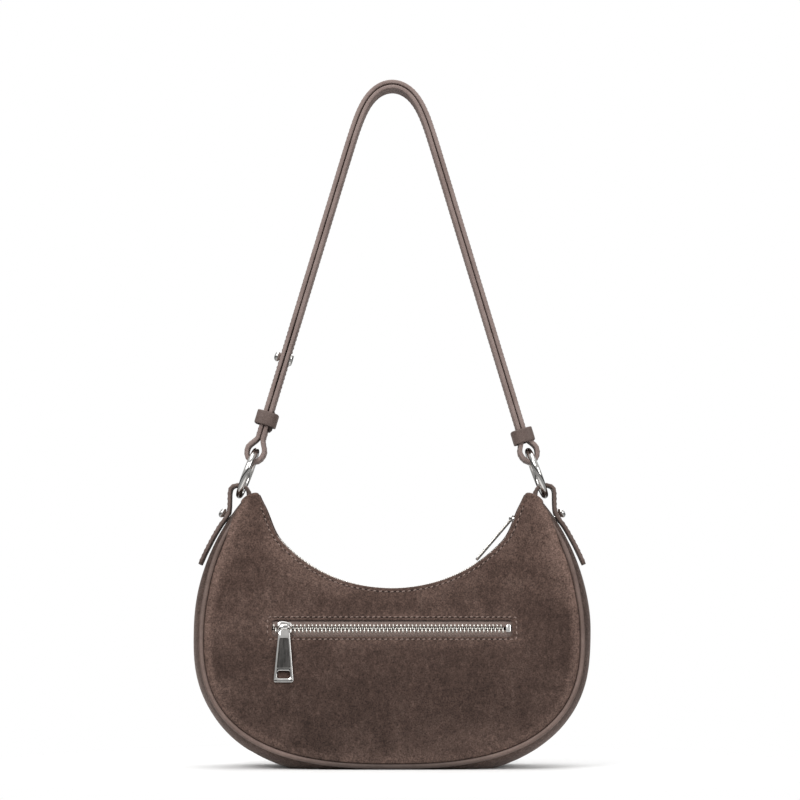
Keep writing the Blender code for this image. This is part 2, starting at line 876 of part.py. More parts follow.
def outline_at(side, distance):
    """Point and outward normal of the silhouette, a distance below the tip."""
    length = 0
    order = range(outline_stations, 0, -1)
    for index in order:
        first, second = outline[index], outline[index - 1]
        span = (second - first).length
        if length + span >= distance:
            share = (distance - length) / span
            point = first.lerp(second, share)
            normal = outline_normals[index].lerp(outline_normals[index - 1], share).normalized()
            return (Vector((side * point.x, 0, point.z)), Vector((side * normal.x, 0, normal.z)))
        length += span
    return outline[0], outline_normals[0]


def tab_path(side):
    """Middle line of a tab: out of the tip, over the ring's wire and down the gusset."""
    centre, up, outward = ring_frame(side)
    wire = centre - up * ring_radius
    arch_radius = ring_dip(tab_width) + ring_wire_radius + tab_ring_clearance + tab_thickness / 2
    start = wire - outward * arch_radius - z_axis * tab_inner_reach
    points = [start]
    for degrees in tab_arch_degrees:
        turn = math.radians(degrees)
        points.append(wire + (up * math.sin(turn) - outward * math.cos(turn)) * arch_radius)
    for share in tab_tail_shares:
        point, normal = outline_at(side, tab_tail_length * share)
        lie = tab_thickness / 2 + tab_tail_gap + tab_tail_lift * share ** 3
        points.append(point + normal * lie)
    return smooth_curve(points, corner_steps)


def build_tab(name, side):
    sections = strip_sections(resample(tab_path(side), tab_stations), tab_width, tab_thickness)
    point, normal = outline_at(side, tab_stud_distance)
    reach = tab_tail_gap + tab_thickness + tab_tail_lift + cut_overrun
    hole = turned([(stud_hole_radius, 0), (stud_hole_radius, reach)], point, normal, round_sides)
    add_object(name, cut(loft(sections), hole), leather(name + "_leather"))


def stud_profile(start, seat):
    """Profile of a stud whose post begins at start and whose round button sits on seat."""
    half = stud_button_height / 2
    profile = [(stud_post_radius, start), (stud_post_radius, seat)]
    for degrees in stud_button_degrees:
        turn = math.radians(degrees)
        profile.append((stud_button_radius * math.sin(turn), seat + half - half * math.cos(turn)))
    return profile


def build_tab_stud(name, side):
    point, normal = outline_at(side, tab_stud_distance)
    seat = tab_tail_gap + tab_thickness + tab_stud_lift
    add_object(name, turned(stud_profile(touch_gap, seat), point, normal, round_sides), chrome(name))


def strap_height(x):
    """Height of the strap's middle line at a distance from the centre."""
    power = strap_crown_power
    reach = (abs(x) ** power + strap_crown_half_width ** power) ** (1 / power)
    return strap_crown_height - (reach - strap_crown_half_width) / math.tan(strap_lean)


def strap_frame(side, distance):
    """Place on a leg at a distance from its ring's top, the way up the leg and the way outwards."""
    along = distance - strap_neck
    place = Vector((side * (strap_neck_x - along * math.sin(strap_lean)), 0,
                    strap_neck_height + along * math.cos(strap_lean)))
    up = Vector((-side * math.sin(strap_lean), 0, math.cos(strap_lean)))
    outward = Vector((side * math.cos(strap_lean), 0, math.sin(strap_lean)))
    return place, up, outward


def strap_layer(offset):
    """Middle line of one layer between the two necks, from left to right."""
    crown = strap_crown_half_width * strap_crown_reach_share

    def stretch(first, last, count):
        fine = []
        for step in range(curve_samples + 1):
            x = first + (last - first) * step / curve_samples
            fine.append(Vector((x, 0, strap_height(x))))
        return resample(fine, count)

    line = stretch(-strap_neck_x, -crown, strap_leg_stations)
    line += stretch(-crown, crown, strap_crown_stations)[1:]
    line += stretch(crown, strap_neck_x, strap_leg_stations)[1:]
    return [point + normal * offset for point, normal in zip(line, flat_normals(line))]


def strap_loop(side):
    """Middle line round a ring's top wire, from one layer to the other."""
    centre, up, outward = ring_frame(side)
    wire = centre + up * ring_radius
    half = (strap_loop_inner_width + strap_thickness) / 2
    drop = ring_dip(strap_width) + ring_wire_radius + strap_loop_clearance + strap_thickness / 2
    layer = (strap_thickness + strap_layer_gap) / 2
    points = []
    for height_share, width_share in zip(loop_height_shares, loop_width_shares):
        height = strap_neck * height_share
        width = layer + (half - layer) * width_share
        points.append((height, width))
    for degrees in loop_turn_degrees:
        turn = math.radians(degrees)
        points.append((-drop * math.sin(turn), half * math.cos(turn)))
    whole = points + [(height, -width) for height, width in reversed(points[:-1])]
    return [wire + up * height + outward * width for height, width in whole]


def build_strap():
    layer = (strap_thickness + strap_layer_gap) / 2
    upper = strap_layer(layer)
    lower = strap_layer(-layer)
    if upper[len(upper) // 2].z < lower[len(lower) // 2].z:
        upper, lower = lower, upper
    path = upper + strap_loop(right) + list(reversed(lower)) + list(reversed(strap_loop(left)))
    data = loft(strip_sections(path, strap_width, strap_thickness, closed=True), closed=True)
    base, _, outward = strap_frame(left, strap_stud_distance)
    reach = strap_thickness + strap_layer_gap + cut_overrun
    hole = turned([(stud_hole_radius, -reach), (stud_hole_radius, reach)], base, outward, round_sides)
    pivot = Vector((0, 0, ring_centre_height))
    add_object("strap", cut(data, hole), leather("strap_leather"), pivot)


def build_strap_stud():
    base, up, outward = strap_frame(left, strap_stud_distance)
    face = strap_thickness + strap_layer_gap / 2
    seat = face + touch_gap
    data = turned(stud_profile(-face, seat), base, outward, round_sides)
    add_object("strap_stud", data, chrome("strap_stud"))
    start = -face - sewn_gap
    head = turned([(stud_head_radius, start), (stud_head_radius, start - stud_head_thickness / 2),
                   (stud_head_radius - stud_head_thickness / 2, start - stud_head_thickness)],
                  base, outward, round_sides)

    def place(a, b, n):
        return base + up * a + y_axis * b + outward * n

    low = start - stud_head_thickness
    slot = box((-stud_head_radius - cut_overrun, -stud_slot_width / 2, low - cut_overrun),
               (stud_head_radius + cut_overrun, stud_slot_width / 2, low + stud_slot_depth), place)
    add_object("strap_stud_screw", cut(head, slot), chrome("strap_stud_screw"))


def build_keeper(name, side, distance):
    middle, up, outward = strap_frame(side, distance)
    half_a = strap_thickness + strap_layer_gap / 2 + keeper_play + keeper_wall
    half_b = strap_width / 2 + keeper_side_gap + keeper_wall
    outer = rounded_rectangle(half_a, half_b, keeper_corner)
    inner = rounded_rectangle(half_a - keeper_wall, half_b - keeper_wall, keeper_corner - keeper_wall)
    sections = []
    for outside, inside in zip(outer, inner):
        section = []
        for (a, b), height in ((outside, -1), (outside, 1), (inside, 1), (inside, -1)):
            section.append(middle + outward * a + y_axis * b + up * height * keeper_height / 2)
        sections.append(section)
    add_object(name, loft(sections, closed=True), leather(name + "_leather"), middle)
    print(name, tuple(round(value, 6) for value in middle), tuple(round(value, 6) for value in up))


def main():
    clear_scene()
    build_gusset()
    build_panels()
    build_piping("piping_pocket_side", pocket_side)
    build_piping("piping_plain_side", plain_side)
    build_lining()
    build_board()
    build_mouth_zip()
    build_zip_ends()
    build_pocket_zip()
    build_pouch()
    build_mouth_slider()
    build_pocket_slider()
    for side, word in ((left, "left"), (right, "right")):
        build_tab(word + "_tab", side)
        build_tab_stud(word + "_tab_stud", side)
        build_ring(word + "_ring", side)
    build_strap()
    build_strap_stud()
    build_keeper("left_keeper", left, left_keeper_distance)
    build_keeper("right_keeper", right, right_keeper_distance)


main()
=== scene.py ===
"""Crossbody bag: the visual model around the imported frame, with its studio and camera.

Metres, +Z up. The bag stands on the floor and its zip pocket faces -Y.
"""

import math
from bisect import bisect_right

import bmesh
import bpy
from mathutils import Matrix, Vector, noise
from mathutils.geometry import delaunay_2d_cdt
from mathutils.kdtree import KDTree


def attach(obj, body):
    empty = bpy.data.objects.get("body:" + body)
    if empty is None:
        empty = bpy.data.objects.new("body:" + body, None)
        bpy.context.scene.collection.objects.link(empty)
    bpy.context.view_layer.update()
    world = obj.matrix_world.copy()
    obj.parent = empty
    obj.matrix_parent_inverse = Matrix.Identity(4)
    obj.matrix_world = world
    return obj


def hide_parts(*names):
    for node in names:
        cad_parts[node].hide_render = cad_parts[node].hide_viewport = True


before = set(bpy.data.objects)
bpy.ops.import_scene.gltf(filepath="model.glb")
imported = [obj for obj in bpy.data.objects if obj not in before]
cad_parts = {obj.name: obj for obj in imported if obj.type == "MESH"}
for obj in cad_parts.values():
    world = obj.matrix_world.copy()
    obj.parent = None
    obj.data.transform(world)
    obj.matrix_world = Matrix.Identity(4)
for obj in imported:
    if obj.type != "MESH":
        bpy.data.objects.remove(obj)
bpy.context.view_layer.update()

# Bag body
body_width = 0.250
widest_height = 0.084
lower_reach = 0.092
upper_reach = 0.127
lower_roundness = 2.5
mouth_radius = 0.096
mouth_centre_height = 0.208
tip_width = 0.009
bottom_half_depth = 0.034
tip_half_depth = 0.012
taper_height = 0.150
panel_thickness = 0.0016
gusset_thickness = 0.0016
seam_inset = 0.0062
seam_bottom_extra = 0.0036
seam_bottom_power = 3.5
tip_seam_inset = 0.003
seam_ease_share = 0.12
crown_power = 4
piping_radius = 0.0014
touch_gap = 0.0003
inner_gap = 0.0005

# Pocket
pocket_height = 0.0865
window_half_length = 0.0747
window_half_height = 0.0051
window_corner = 0.0020
pocket_slider_x = -0.0670

# Zips; the three margins run along the mouth's arc, from the tip to the closed slider
zip_end_margin = 0.00424
zip_end_length = 0.00506
mouth_slider_margin = 0.00838
chain_half_width = 0.0026
chain_thickness = 0.0020
chain_recess = 0.0004
tooth_pitch = 0.0024
first_tooth = 0.0006
pin_radius = 0.0008
pin_rise = 0.0024
slider_top = 0.00135

# Rings, tabs and strap
ring_radius = 0.015
ring_wire_radius = 0.0020
ring_lean = math.radians(20.5)
ring_inward = 0.00436
ring_above_tip = 0.01902
tab_width = 0.016
tab_thickness = 0.0022
strap_width = 0.017
strap_thickness = 0.0024
strap_layer_gap = 0.0008
strap_crown_height = 0.4336
strap_crown_half_width = 0.0155
strap_crown_radius = 0.015
strap_crown_fade = 1.7
strap_neck = 0.0084
strap_loop_inner_width = 0.0084
strap_loop_clearance = 0.0013
strap_stud_distance = 0.0618
strap_line_step = 0.0002

fine_samples = 900
halvings = 60
outline_steps = 260
tiny = 1e-12

x_axis = Vector((1, 0, 0))
y_axis = Vector((0, 1, 0))
z_axis = Vector((0, 0, 1))


# Curves

class Route:
    """Places at a distance along a line of points."""

    def __init__(self, points):
        self.points = points
        self.lengths = [0.0]
        for first, second in zip(points, points[1:]):
            self.lengths.append(self.lengths[-1] + (second - first).length)
        self.length = self.lengths[-1]

    def find(self, distance):
        """Segment at a distance, and the share of it that lies before."""
        distance = min(max(distance, 0), self.length)
        low = min(bisect_right(self.lengths, distance) - 1, len(self.lengths) - 2)
        span = max(self.lengths[low + 1] - self.lengths[low], tiny)
        return low, (distance - self.lengths[low]) / span

    def point(self, distance):
        low, share = self.find(distance)
        return self.points[low].lerp(self.points[low + 1], share)


def resample(points, count):
    route = Route(points)
    return [route.point(route.length * step / count) for step in range(count + 1)]


def smooth_curve(points, steps, closed=False):
    if closed:
        ends = [points[-1], *points, points[0], points[1]]
    else:
        ends = [points[0] * 2 - points[1], *points, points[-1] * 2 - points[-2]]
    result = []
    for before, start, end, after in zip(ends, ends[1:], ends[2:], ends[3:]):
        for step in range(steps):
            t = step / steps
            result.append(0.5 * (2 * start + (end - before) * t
                                 + (2 * before - 5 * start + 4 * end - after) * t * t
                                 + (3 * start - before - 3 * end + after) * t ** 3))
    if not closed:
        result.append(points[-1].copy())
    return result


def flat_normals(points, closed=False):
    """Directions square to a line in the plane of x and z, on its left as it runs towards +X."""
    normals = []
    count = len(points)
    for index in range(count):
        before = points[index - 1] if closed or index > 0 else points[index]
        after = points[(index + 1) % count] if closed or index < count - 1 else points[index]
        normals.append((after - before).normalized().cross(y_axis).normalized())
    return normals


def circle(centre, across, beside, radius, sides):
    """Ring of points round a centre, in the plane of two directions."""
    turns = (2 * math.pi * step / sides for step in range(sides))
    return [centre + (across * math.cos(turn) + beside * math.sin(turn)) * radius for turn in turns]


def squared(value, power):
    """Sine or cosine pushed towards its ends, which makes a rounded box of a circle."""
    return math.copysign(abs(value) ** power, value)


def ease(value):
    value = min(max(value, 0), 1)
    return value * value * (3 - 2 * value)


def fading(distance, start, width):
    """1 up to the start, then falling softly to 0 within the width."""
    return 1 - ease((distance - start) / width)


def waver(point, scale, seed):
    """Smooth noise from -1 to 1 at a feature size in metres."""
    return noise.noise(point / scale + Vector((seed, seed * 0.7, seed * 0.3)))


def half_depth(height):
    share = min(max(height / taper_height, 0), 1)
    return tip_half_depth + (bottom_half_depth - tip_half_depth) * math.cos(share * math.pi / 2) ** 2


def half_depth_slope(height):
    share = min(max(height / taper_height, 0), 1)
    return -(bottom_half_depth - tip_half_depth) * math.pi * math.sin(share * math.pi) / (2 * taper_height)


def mouth_point(angle, radius):
    return Vector((radius * math.sin(angle), 0, mouth_centre_height - radius * math.cos(angle)))


def mouth_reach(angle):
    """Half the room between the two panels at the mouth's edge."""
    edge_rise = 0.0016
    height = mouth_point(angle, mouth_radius).z
    return half_depth(height + edge_rise) - panel_thickness - inner_gap


def tip_parameter():
    """Turn of the upper outline at which the tip has its width, found by halving."""
    low, high = 0, math.pi / 2
    for _ in range(halvings):
        middle = (low + high) / 2
        point = Vector((body_width / 2 * math.cos(middle), 0, upper_reach * math.sin(middle)))
        point.z += widest_height - mouth_centre_height
        if point.length > mouth_radius + tip_width:
            low = middle
        else:
            high = middle
    return low


def body_outline():
    """Outline from the left tip round the bottom to the right tip."""
    half = []
    for step in range(fine_samples + 1):
        turn = math.pi / 2 * step / fine_samples
        x = body_width / 2 * math.sin(turn) ** (2 / lower_roundness)
        z = widest_height - lower_reach * math.cos(turn) ** (2 / lower_roundness)
        half.append(Vector((x, 0, z)))
    end = tip_parameter()
    for step in range(1, fine_samples + 1):
        turn = end * step / fine_samples
        half.append(Vector((body_width / 2 * math.cos(turn), 0,
                            widest_height + upper_reach * math.sin(turn))))
    mirrored = [Vector((-point.x, 0, point.z)) for point in reversed(half[1:])]
    return resample(mirrored + half, outline_steps)


outline = body_outline()
outline_normals = [-normal for normal in flat_normals(outline)]
tip_route = Route(outline[::-1])
tip_normals = outline_normals[::-1]


def inset_at(index):
    """Distance from the outline in to the seam, which grows towards the bottom and shrinks at the tips."""
    share = index / outline_steps
    low = max(widest_height - outline[min(int(index), outline_steps)].z, 0) / lower_reach
    wanted = seam_inset + seam_bottom_extra * low ** seam_bottom_power
    return tip_seam_inset + (wanted - tip_seam_inset) * min(min(share, 1 - share) / seam_ease_share, 1)


def outline_at(side, distance):
    """Point and outward direction on the outline at a distance from one of its tips."""
    low, share = tip_route.find(distance)
    point = tip_route.point(distance)
    normal = tip_normals[low].lerp(tip_normals[low + 1], share).normalized()
    return Vector((side * point.x, 0, point.z)), Vector((side * normal.x, 0, normal.z))


seam = [point - normal * inset_at(index)
        for index, (point, normal) in enumerate(zip(outline, outline_normals))]
tip_angle = math.atan2(outline[-1].x, mouth_centre_height - outline[-1].z)
zip_end_angle = tip_angle - zip_end_margin / mouth_radius
mouth_zip_angle = zip_end_angle - zip_end_length / mouth_radius
mouth_slider_angle = mouth_zip_angle - mouth_slider_margin / mouth_radius
ring_centre_x = outline[-1].x - ring_inward
ring_centre_height = outline[-1].z + ring_above_tip
strap_neck_x = ring_centre_x - (ring_radius + strap_neck) * math.sin(ring_lean)
strap_neck_height = ring_centre_height + (ring_radius + strap_neck) * math.cos(ring_lean)
strap_lean = math.atan((strap_neck_x - strap_crown_half_width) / (strap_crown_height - strap_neck_height))


# Flat loops of (a, b) points

def loop_pairs(points):
    return zip(points, points[1:] + points[:1])


def rounded_polygon(points, radius, steps=6):
    """Corner-rounded copy of a polygon of (a, b) points, with one radius or one for each corner."""
    result = []
    longest_share = 0.49
    for index, place in enumerate(points):
        corner = Vector(place)
        before = Vector(points[index - 1]) - corner
        after = Vector(points[(index + 1) % len(points)]) - corner
        r = radius[index] if isinstance(radius, (list, tuple)) else radius
        half = before.angle(after) / 2
        reach = min(r / math.tan(half), before.length * longest_share, after.length * longest_share)
        r = reach * math.tan(half)
        bisector = (before.normalized() + after.normalized()).normalized()
        centre = corner + bisector * (r / math.sin(half))
        start = corner + before.normalized() * reach - centre
        end = corner + after.normalized() * reach - centre
        turn = start.angle_signed(end)
        for step in range(steps + 1):
            spoke = start.copy()
            spoke.rotate(Matrix.Rotation(-turn * step / steps, 2))
            result.append(centre + spoke)
    return result


def rounded_box(half_a, half_b, corner, steps=6):
    return rounded_polygon([(-half_a, -half_b), (half_a, -half_b), (half_a, half_b), (-half_a, half_b)],
                           corner, steps)


def dense_loop(points, step):
    """Loop with more points, about one for each step."""
    result = []
    for a, b in loop_pairs(points):
        pieces = max(int((b - a).length / step), 1)
        result.extend(a.lerp(b, index / pieces) for index in range(pieces))
    return result


def inward_normals(points):
    """Inward directions of a loop that runs anticlockwise."""
    result = []
    for before, after in zip(points[-1:] + points[:-1], points[1:] + points[:1]):
        along = (after - before).normalized()
        result.append(Vector((-along.y, along.x)))
    return result


def inset_loop(points, distance):
    return [point + normal * distance for point, normal in zip(points, inward_normals(points))]


def anticlockwise(points):
    area = sum(a.x * b.y - b.x * a.y for a, b in loop_pairs(points))
    return points if area > 0 else list(reversed(points))


def inside(point, loop):
    hit = False
    for a, b in loop_pairs(loop):
        if (a.y > point.y) != (b.y > point.y):
            if point.x < (b.x - a.x) * (point.y - a.y) / (b.y - a.y) + a.x:
                hit = not hit
    return hit


def distance_to(points):
    """Function that gives the distance from a flat point to the nearest of these."""
    tree = KDTree(len(points))
    for index, point in enumerate(points):
        tree.insert((point.x, point.y, 0), index)
    tree.balance()
    return lambda point: tree.find((point.x, point.y, 0))[2]


def stepped(loop, front, back, steps):
    """Levels of an edge for Shape.relief; a step is (inset, drop of the front, rise of the back)."""
    return [(inset_loop(loop, inset), front - drop, back + rise) for inset, drop, rise in steps]


def face_middle(points, face):
    return sum((points[i] for i in face), Vector((0, 0))) / len(face)


# Mesh shapes; a waver form is (feature size, seed), a thread's in pitches

leather_sharp = 60
metal_sharp = 50
plate_sharp = 40
zip_end_sharp = 55
thread_steps = 6
thread_sides = 8
thread_waver_form = (1.7, 3.1)
thread_rise_share = 0.75
thread_dive_share = 1.5
thread_end_share = 0.25
thread_waver_share = 0.25
hole_reach_share = 0.4
hole_form = ((0.25, 0.00012), (0.9, 0.00012), (1.0, 0.00002), (0.8, -0.0003))


def add_object(name, data):
    item = bpy.data.objects.new(name, data)
    bpy.context.scene.collection.objects.link(item)
    return item


class Shape:
    """Vertices and faces gathered from several shells, with a material index for each face."""

    def __init__(self):
        self.verts = []
        self.faces = []
        self.marks = []

    def add(self, verts, faces, mark=0):
        start = len(self.verts)
        self.verts.extend(verts)
        self.faces.extend(tuple(start + i for i in face) for face in faces)
        self.marks.extend([mark] * len(faces))

    def loft(self, sections, closed=False, mark=0):
        """Skin over rings of points, with end caps unless the rings close on themselves."""
        count = len(sections[0])
        verts = [point for section in sections for point in section]
        faces = []
        last = len(sections) if closed else len(sections) - 1
        for row in range(last):
            a = row * count
            b = ((row + 1) % len(sections)) * count
            for i in range(count):
                j = (i + 1) % count
                faces.append((a + i, a + j, b + j, b + i))
        if not closed:
            faces.append(tuple(range(count - 1, -1, -1)))
            end = (len(sections) - 1) * count
            faces.append(tuple(range(end, end + count)))
        self.add(verts, faces, mark)

    def turned(self, profile, base, axis, sides, closed=False):
        """Lathed form: profile is (radius, height) points."""
        least_radius = 1e-5
        axis = axis.normalized()
        across = axis.orthogonal().normalized()
        beside = axis.cross(across)
        self.loft([circle(base + axis * height, across, beside, max(radius, least_radius), sides)
                   for radius, height in profile], closed)

    def relief(self, levels, place, holes=()):
        """Plate with stepped faces: levels are (loop, front, back), the outer edge first."""
        points = []
        heights = []
        edges = []
        starts = []
        for loop, front, back in levels:
            starts.append(len(points))
            for index, point in enumerate(loop):
                edges.append((len(points), starts[-1] + (index + 1) % len(loop)))
                points.append(point)
                heights.append((front, back))
        flat, _, faces, origins, _, _ = delaunay_2d_cdt(points, edges, [], 0, 1e-9)
        placed = {}
        found = []
        for index, point in enumerate(flat):
            known = origins[index]
            for old in known:
                placed[old] = index
            near = known[0] if known else min(range(len(points)), key=lambda i: (points[i] - point).length)
            found.append(heights[near])
        kept = []
        for face in faces:
            middle = face_middle(flat, face)
            if inside(middle, levels[0][0]) and not any(inside(middle, levels[h][0]) for h in holes):
                kept.append(tuple(face))
        count = len(flat)
        verts = [place(p.x, p.y, front) for p, (front, _) in zip(flat, found)]
        verts += [place(p.x, p.y, back) for p, (_, back) in zip(flat, found)]
        walls = []
        for level in (0, *holes):
            length = len(levels[level][0])
            for step in range(length):
                a = placed[starts[level] + step]
                b = placed[starts[level] + (step + 1) % length]
                if a != b:
                    walls.append((a, b, count + b, count + a))
        self.add(verts, kept + [tuple(count + i for i in reversed(face)) for face in kept] + walls)

    def stitches(self, path, faces, stitch, mark=0):
        """Threads along a path, and their holes in the next material; faces are its outward directions."""
        pitch, length, radius, slant, hole_radius = stitch
        route = Route(path)
        count = int(route.length / pitch)
        spare = (route.length - count * pitch) / 2

        def at(distance):
            low, share = route.find(distance)
            out = faces[low].lerp(faces[low + 1], share).normalized()
            along = (path[low + 1] - path[low]).normalized()
            return route.point(distance), out, along, out.cross(along).normalized()

        for index in range(count):
            middle = spare + (index + 0.5) * pitch
            wobble = waver(Vector((middle, radius, pitch)), pitch * thread_waver_form[0],
                           thread_waver_form[1])
            sections = []
            for step in range(thread_steps + 1):
                t = step / thread_steps * 2 - 1
                point, out, along, side = at(middle + t * length / 2)
                rise = radius * (thread_rise_share - thread_dive_share * t ** 4)
                aside = slant * t * length / 2 + wobble * radius * thread_waver_share
                thick = radius * max(1 - abs(t) ** 5, thread_end_share)
                sections.append(circle(point + out * rise + side * aside, side, out, thick, thread_sides))
            self.loft(sections, mark=mark)
            # Holes: small sunk cups in the near-black material, painted shade.
            for t in (-1, 1):
                point, out, along, side = at(middle + t * (length / 2 + hole_radius * hole_reach_share))
                centre = point + side * slant * t * length / 2
                self.loft([circle(centre + out * level, side, along, hole_radius * share, thread_sides)
                           for share, level in hole_form], mark=mark + 1)

    def piece(self, name, materials, body, replaces=(), sharp=None):
        """Make the object; edges beyond the sharp angle, in degrees, aren't shaded smooth."""
        mesh = bpy.data.meshes.new(name)
        mesh.from_pydata([tuple(v) for v in self.verts], [], self.faces)
        mesh.validate()
        data = bmesh.new()
        data.from_mesh(mesh)
        bmesh.ops.recalc_face_normals(data, faces=data.faces)
        data.to_mesh(mesh)
        data.free()
        for material in materials:
            mesh.materials.append(material)
        for polygon, mark in zip(mesh.polygons, self.marks):
            polygon.material_index = mark
        mesh.shade_smooth()
        if sharp is not None:
            mesh.set_sharp_from_angle(angle=math.radians(sharp))
        item = add_object(name, mesh)
        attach(item, body)
        if replaces:
            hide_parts(*replaces)
        return item


# Materials

class Nodes:
    """Node tree of a material or a world, with short ways to add nodes."""

    def __init__(self, owner):
        owner.use_nodes = True
        self.owner = owner
        self.tree = owner.node_tree

    def node(self, kind, inputs=None, **settings):
        item = self.tree.nodes.new(kind)
        for key, value in settings.items():
            setattr(item, key, value)
        for key, value in (inputs or {}).items():
            self.put(item.inputs[key], value)
        return item

    def put(self, socket, value):
        """Give an input a value, a colour or another node's output."""
        if isinstance(value, bpy.types.NodeSocket):
            self.tree.links.new(value, socket)
        elif socket.type == "RGBA":
            socket.default_value = (*value, 1)
        else:
            socket.default_value = value

    def place(self):
        return self.node("ShaderNodeTexCoord").outputs["Object"]

    def moved(self, scale, turn):
        inputs = {"Scale": scale, "Rotation": turn, "Vector": self.place()}
        return self.node("ShaderNodeMapping", inputs).outputs["Vector"]

    def height(self):
        return self.node("ShaderNodeSeparateXYZ", {0: self.place()}).outputs["Z"]

    def noise(self, scale, detail=3.0, roughness=0.5, distortion=0.0, vector=None):
        inputs = {"Scale": scale, "Detail": detail, "Roughness": roughness, "Distortion": distortion,
                  "Vector": vector or self.place()}
        return self.node("ShaderNodeTexNoise", inputs).outputs["Fac"]

    def pores(self, scale):
        return self.node("ShaderNodeTexVoronoi", {"Scale": scale, "Vector": self.place()}).outputs["Distance"]

    def wave(self, scale, direction, distortion):
        inputs = {"Scale": scale, "Distortion": distortion, "Vector": self.place()}
        return self.node("ShaderNodeTexWave", inputs, bands_direction=direction).outputs["Fac"]

    def ramp(self, value, stops):
        """Colour ramp: stops are (position, colour or grey)."""
        item = self.node("ShaderNodeValToRGB", {"Fac": value})
        elements = item.color_ramp.elements
        while len(elements) < len(stops):
            elements.new(0.5)
        for element, (position, colour) in zip(elements, stops):
            element.position = position
            element.color = (*colour, 1) if isinstance(colour, tuple) else (colour, colour, colour, 1)
        return item.outputs["Color"]

    def mix(self, share, first, second, blend="MIX"):
        inputs = {"Factor": share, 6: first, 7: second}
        return self.node("ShaderNodeMix", inputs, data_type="RGBA", blend_type=blend).outputs[2]

    def times(self, colour, factor):
        return self.mix(1.0, colour, factor, "MULTIPLY")

    def math(self, operation, first, second, third=0.0):
        inputs = {0: first, 1: second, 2: third}
        return self.node("ShaderNodeMath", inputs, operation=operation).outputs[0]

    def range(self, value, low, high, to_low=0.0, to_high=1.0):
        inputs = {"Value": value, "From Min": low, "From Max": high, "To Min": to_low, "To Max": to_high}
        return self.node("ShaderNodeMapRange", inputs).outputs["Result"]

    def mask(self, name):
        return self.node("ShaderNodeAttribute", attribute_name=name).outputs["Fac"]

    def bump(self, height, strength, distance, under=None):
        inputs = {"Strength": strength, "Distance": distance, "Height": height}
        if under:
            inputs["Normal"] = under
        return self.node("ShaderNodeBump", inputs).outputs["Normal"]


class Surface(Nodes):
    """A material with its shader."""

    def __init__(self, name, roughness, metallic=0.0):
        super().__init__(bpy.data.materials.new(name))
        self.shader = self.tree.nodes["Principled BSDF"]
        self.finish(Roughness=roughness, Metallic=metallic)

    def finish(self, **inputs):
        for key, value in inputs.items():
            self.put(self.shader.inputs[key.replace("_", " ")], value)
        return self.owner


def shaded(colour, factor):
    return tuple(value * factor for value in colour)


def suede(name, dark, middle, light, painted_light=False):
    """Brushed leather; with the painted light flag set, its masks paint a lighter sheen band on the edges and
    painted shade in the creases, and it is painted darker towards the bottom.
    """
    n = Surface(name, 0.95)
    wide = n.noise(26, 2.5, 0.55, 0.6)
    patch = n.noise(95, 3.5, 0.6, 0.9)
    streak = n.noise(260, 3.0, 0.6, 0.4, n.moved((1.0, 1.0, 0.45), (0, 0.5, 0)))
    fibre = n.noise(1050, 3.0, 0.75)
    share = n.math("MULTIPLY_ADD", wide, 0.40, n.math("MULTIPLY", patch, 0.22))
    share = n.math("ADD", share, n.math("MULTIPLY", streak, 0.38))
    colour = n.ramp(share, ((0.34, dark), (0.50, middle), (0.66, light)))
    if painted_light:
        # Painted light: a lighter sheen band along the edges, the mouth and the window, then painted shade in
        # the creases beside the seam.
        wide_painted_sheen = n.math("MULTIPLY", n.mask("wide_painted_light"), n.range(wide, 0.38, 0.60, 0.0, 0.78))
        colour = n.mix(wide_painted_sheen, colour, shaded(light, 1.35))
        edge = n.math("MULTIPLY", n.mask("painted_light"), n.range(patch, 0.35, 0.65, 0.45, 1.0))
        colour = n.mix(edge, colour, shaded(light, 1.45))
        colour = n.mix(n.math("MULTIPLY", n.mask("crease"), 0.8), colour, shaded(dark, 0.22))
    colour = n.times(colour, n.range(fibre, 0.30, 0.70, 0.34, 1.62))
    colour = n.times(colour, n.range(n.noise(430, 2.0, 0.6), 0.32, 0.68, 0.80, 1.20))
    # Painted light: darker towards the bottom and lighter towards the top, as the light falls from above.
    if painted_light:
        colour = n.times(colour, n.range(n.height(), 0.0, 0.14, 0.62, 1.36))
    soft = n.bump(n.noise(620, 4.0, 0.65), 0.55, 0.0006)
    return n.finish(Base_Color=colour, Normal=n.bump(fibre, 0.6, 0.00035, soft), Sheen_Weight=0.35,
                    Sheen_Roughness=0.45, Sheen_Tint=(0.95, 0.82, 0.76), Specular_IOR_Level=0.18)


def leather(name, dark, light, roughness, pore_scale, sheen=0.0, painted_floor_shade=False):
    """Smooth leather with pores; with its floor flag set, it is darker where it nears the floor, painted
    shade of the floor's contact.
    """
    n = Surface(name, roughness)
    patch = n.noise(60, 4.0, 0.6, 0.5)
    fine = n.noise(700, 3.0, 0.6)
    share = n.math("MULTIPLY_ADD", patch, 0.65, n.math("MULTIPLY", fine, 0.35))
    colour = n.ramp(share, ((0.36, dark), (0.62, light)))
    pores = n.pores(pore_scale)
    colour = n.times(colour, n.range(pores, 0.0, 0.5, 0.80, 1.06))
    if painted_floor_shade:
        # Painted shade: darker near the floor, where the floor's contact shadow falls.
        colour = n.times(colour, n.range(n.height(), 0.001, 0.009, 0.30, 1.0))
    normal = n.bump(pores, 0.35, 0.00025, n.bump(fine, 0.25, 0.0003))
    rough = n.range(patch, 0.3, 0.7, roughness - 0.06, roughness + 0.08)
    return n.finish(Base_Color=colour, Normal=normal, Roughness=rough, Sheen_Weight=sheen,
                    Sheen_Roughness=0.5, Sheen_Tint=(0.95, 0.80, 0.72), Specular_IOR_Level=0.28)


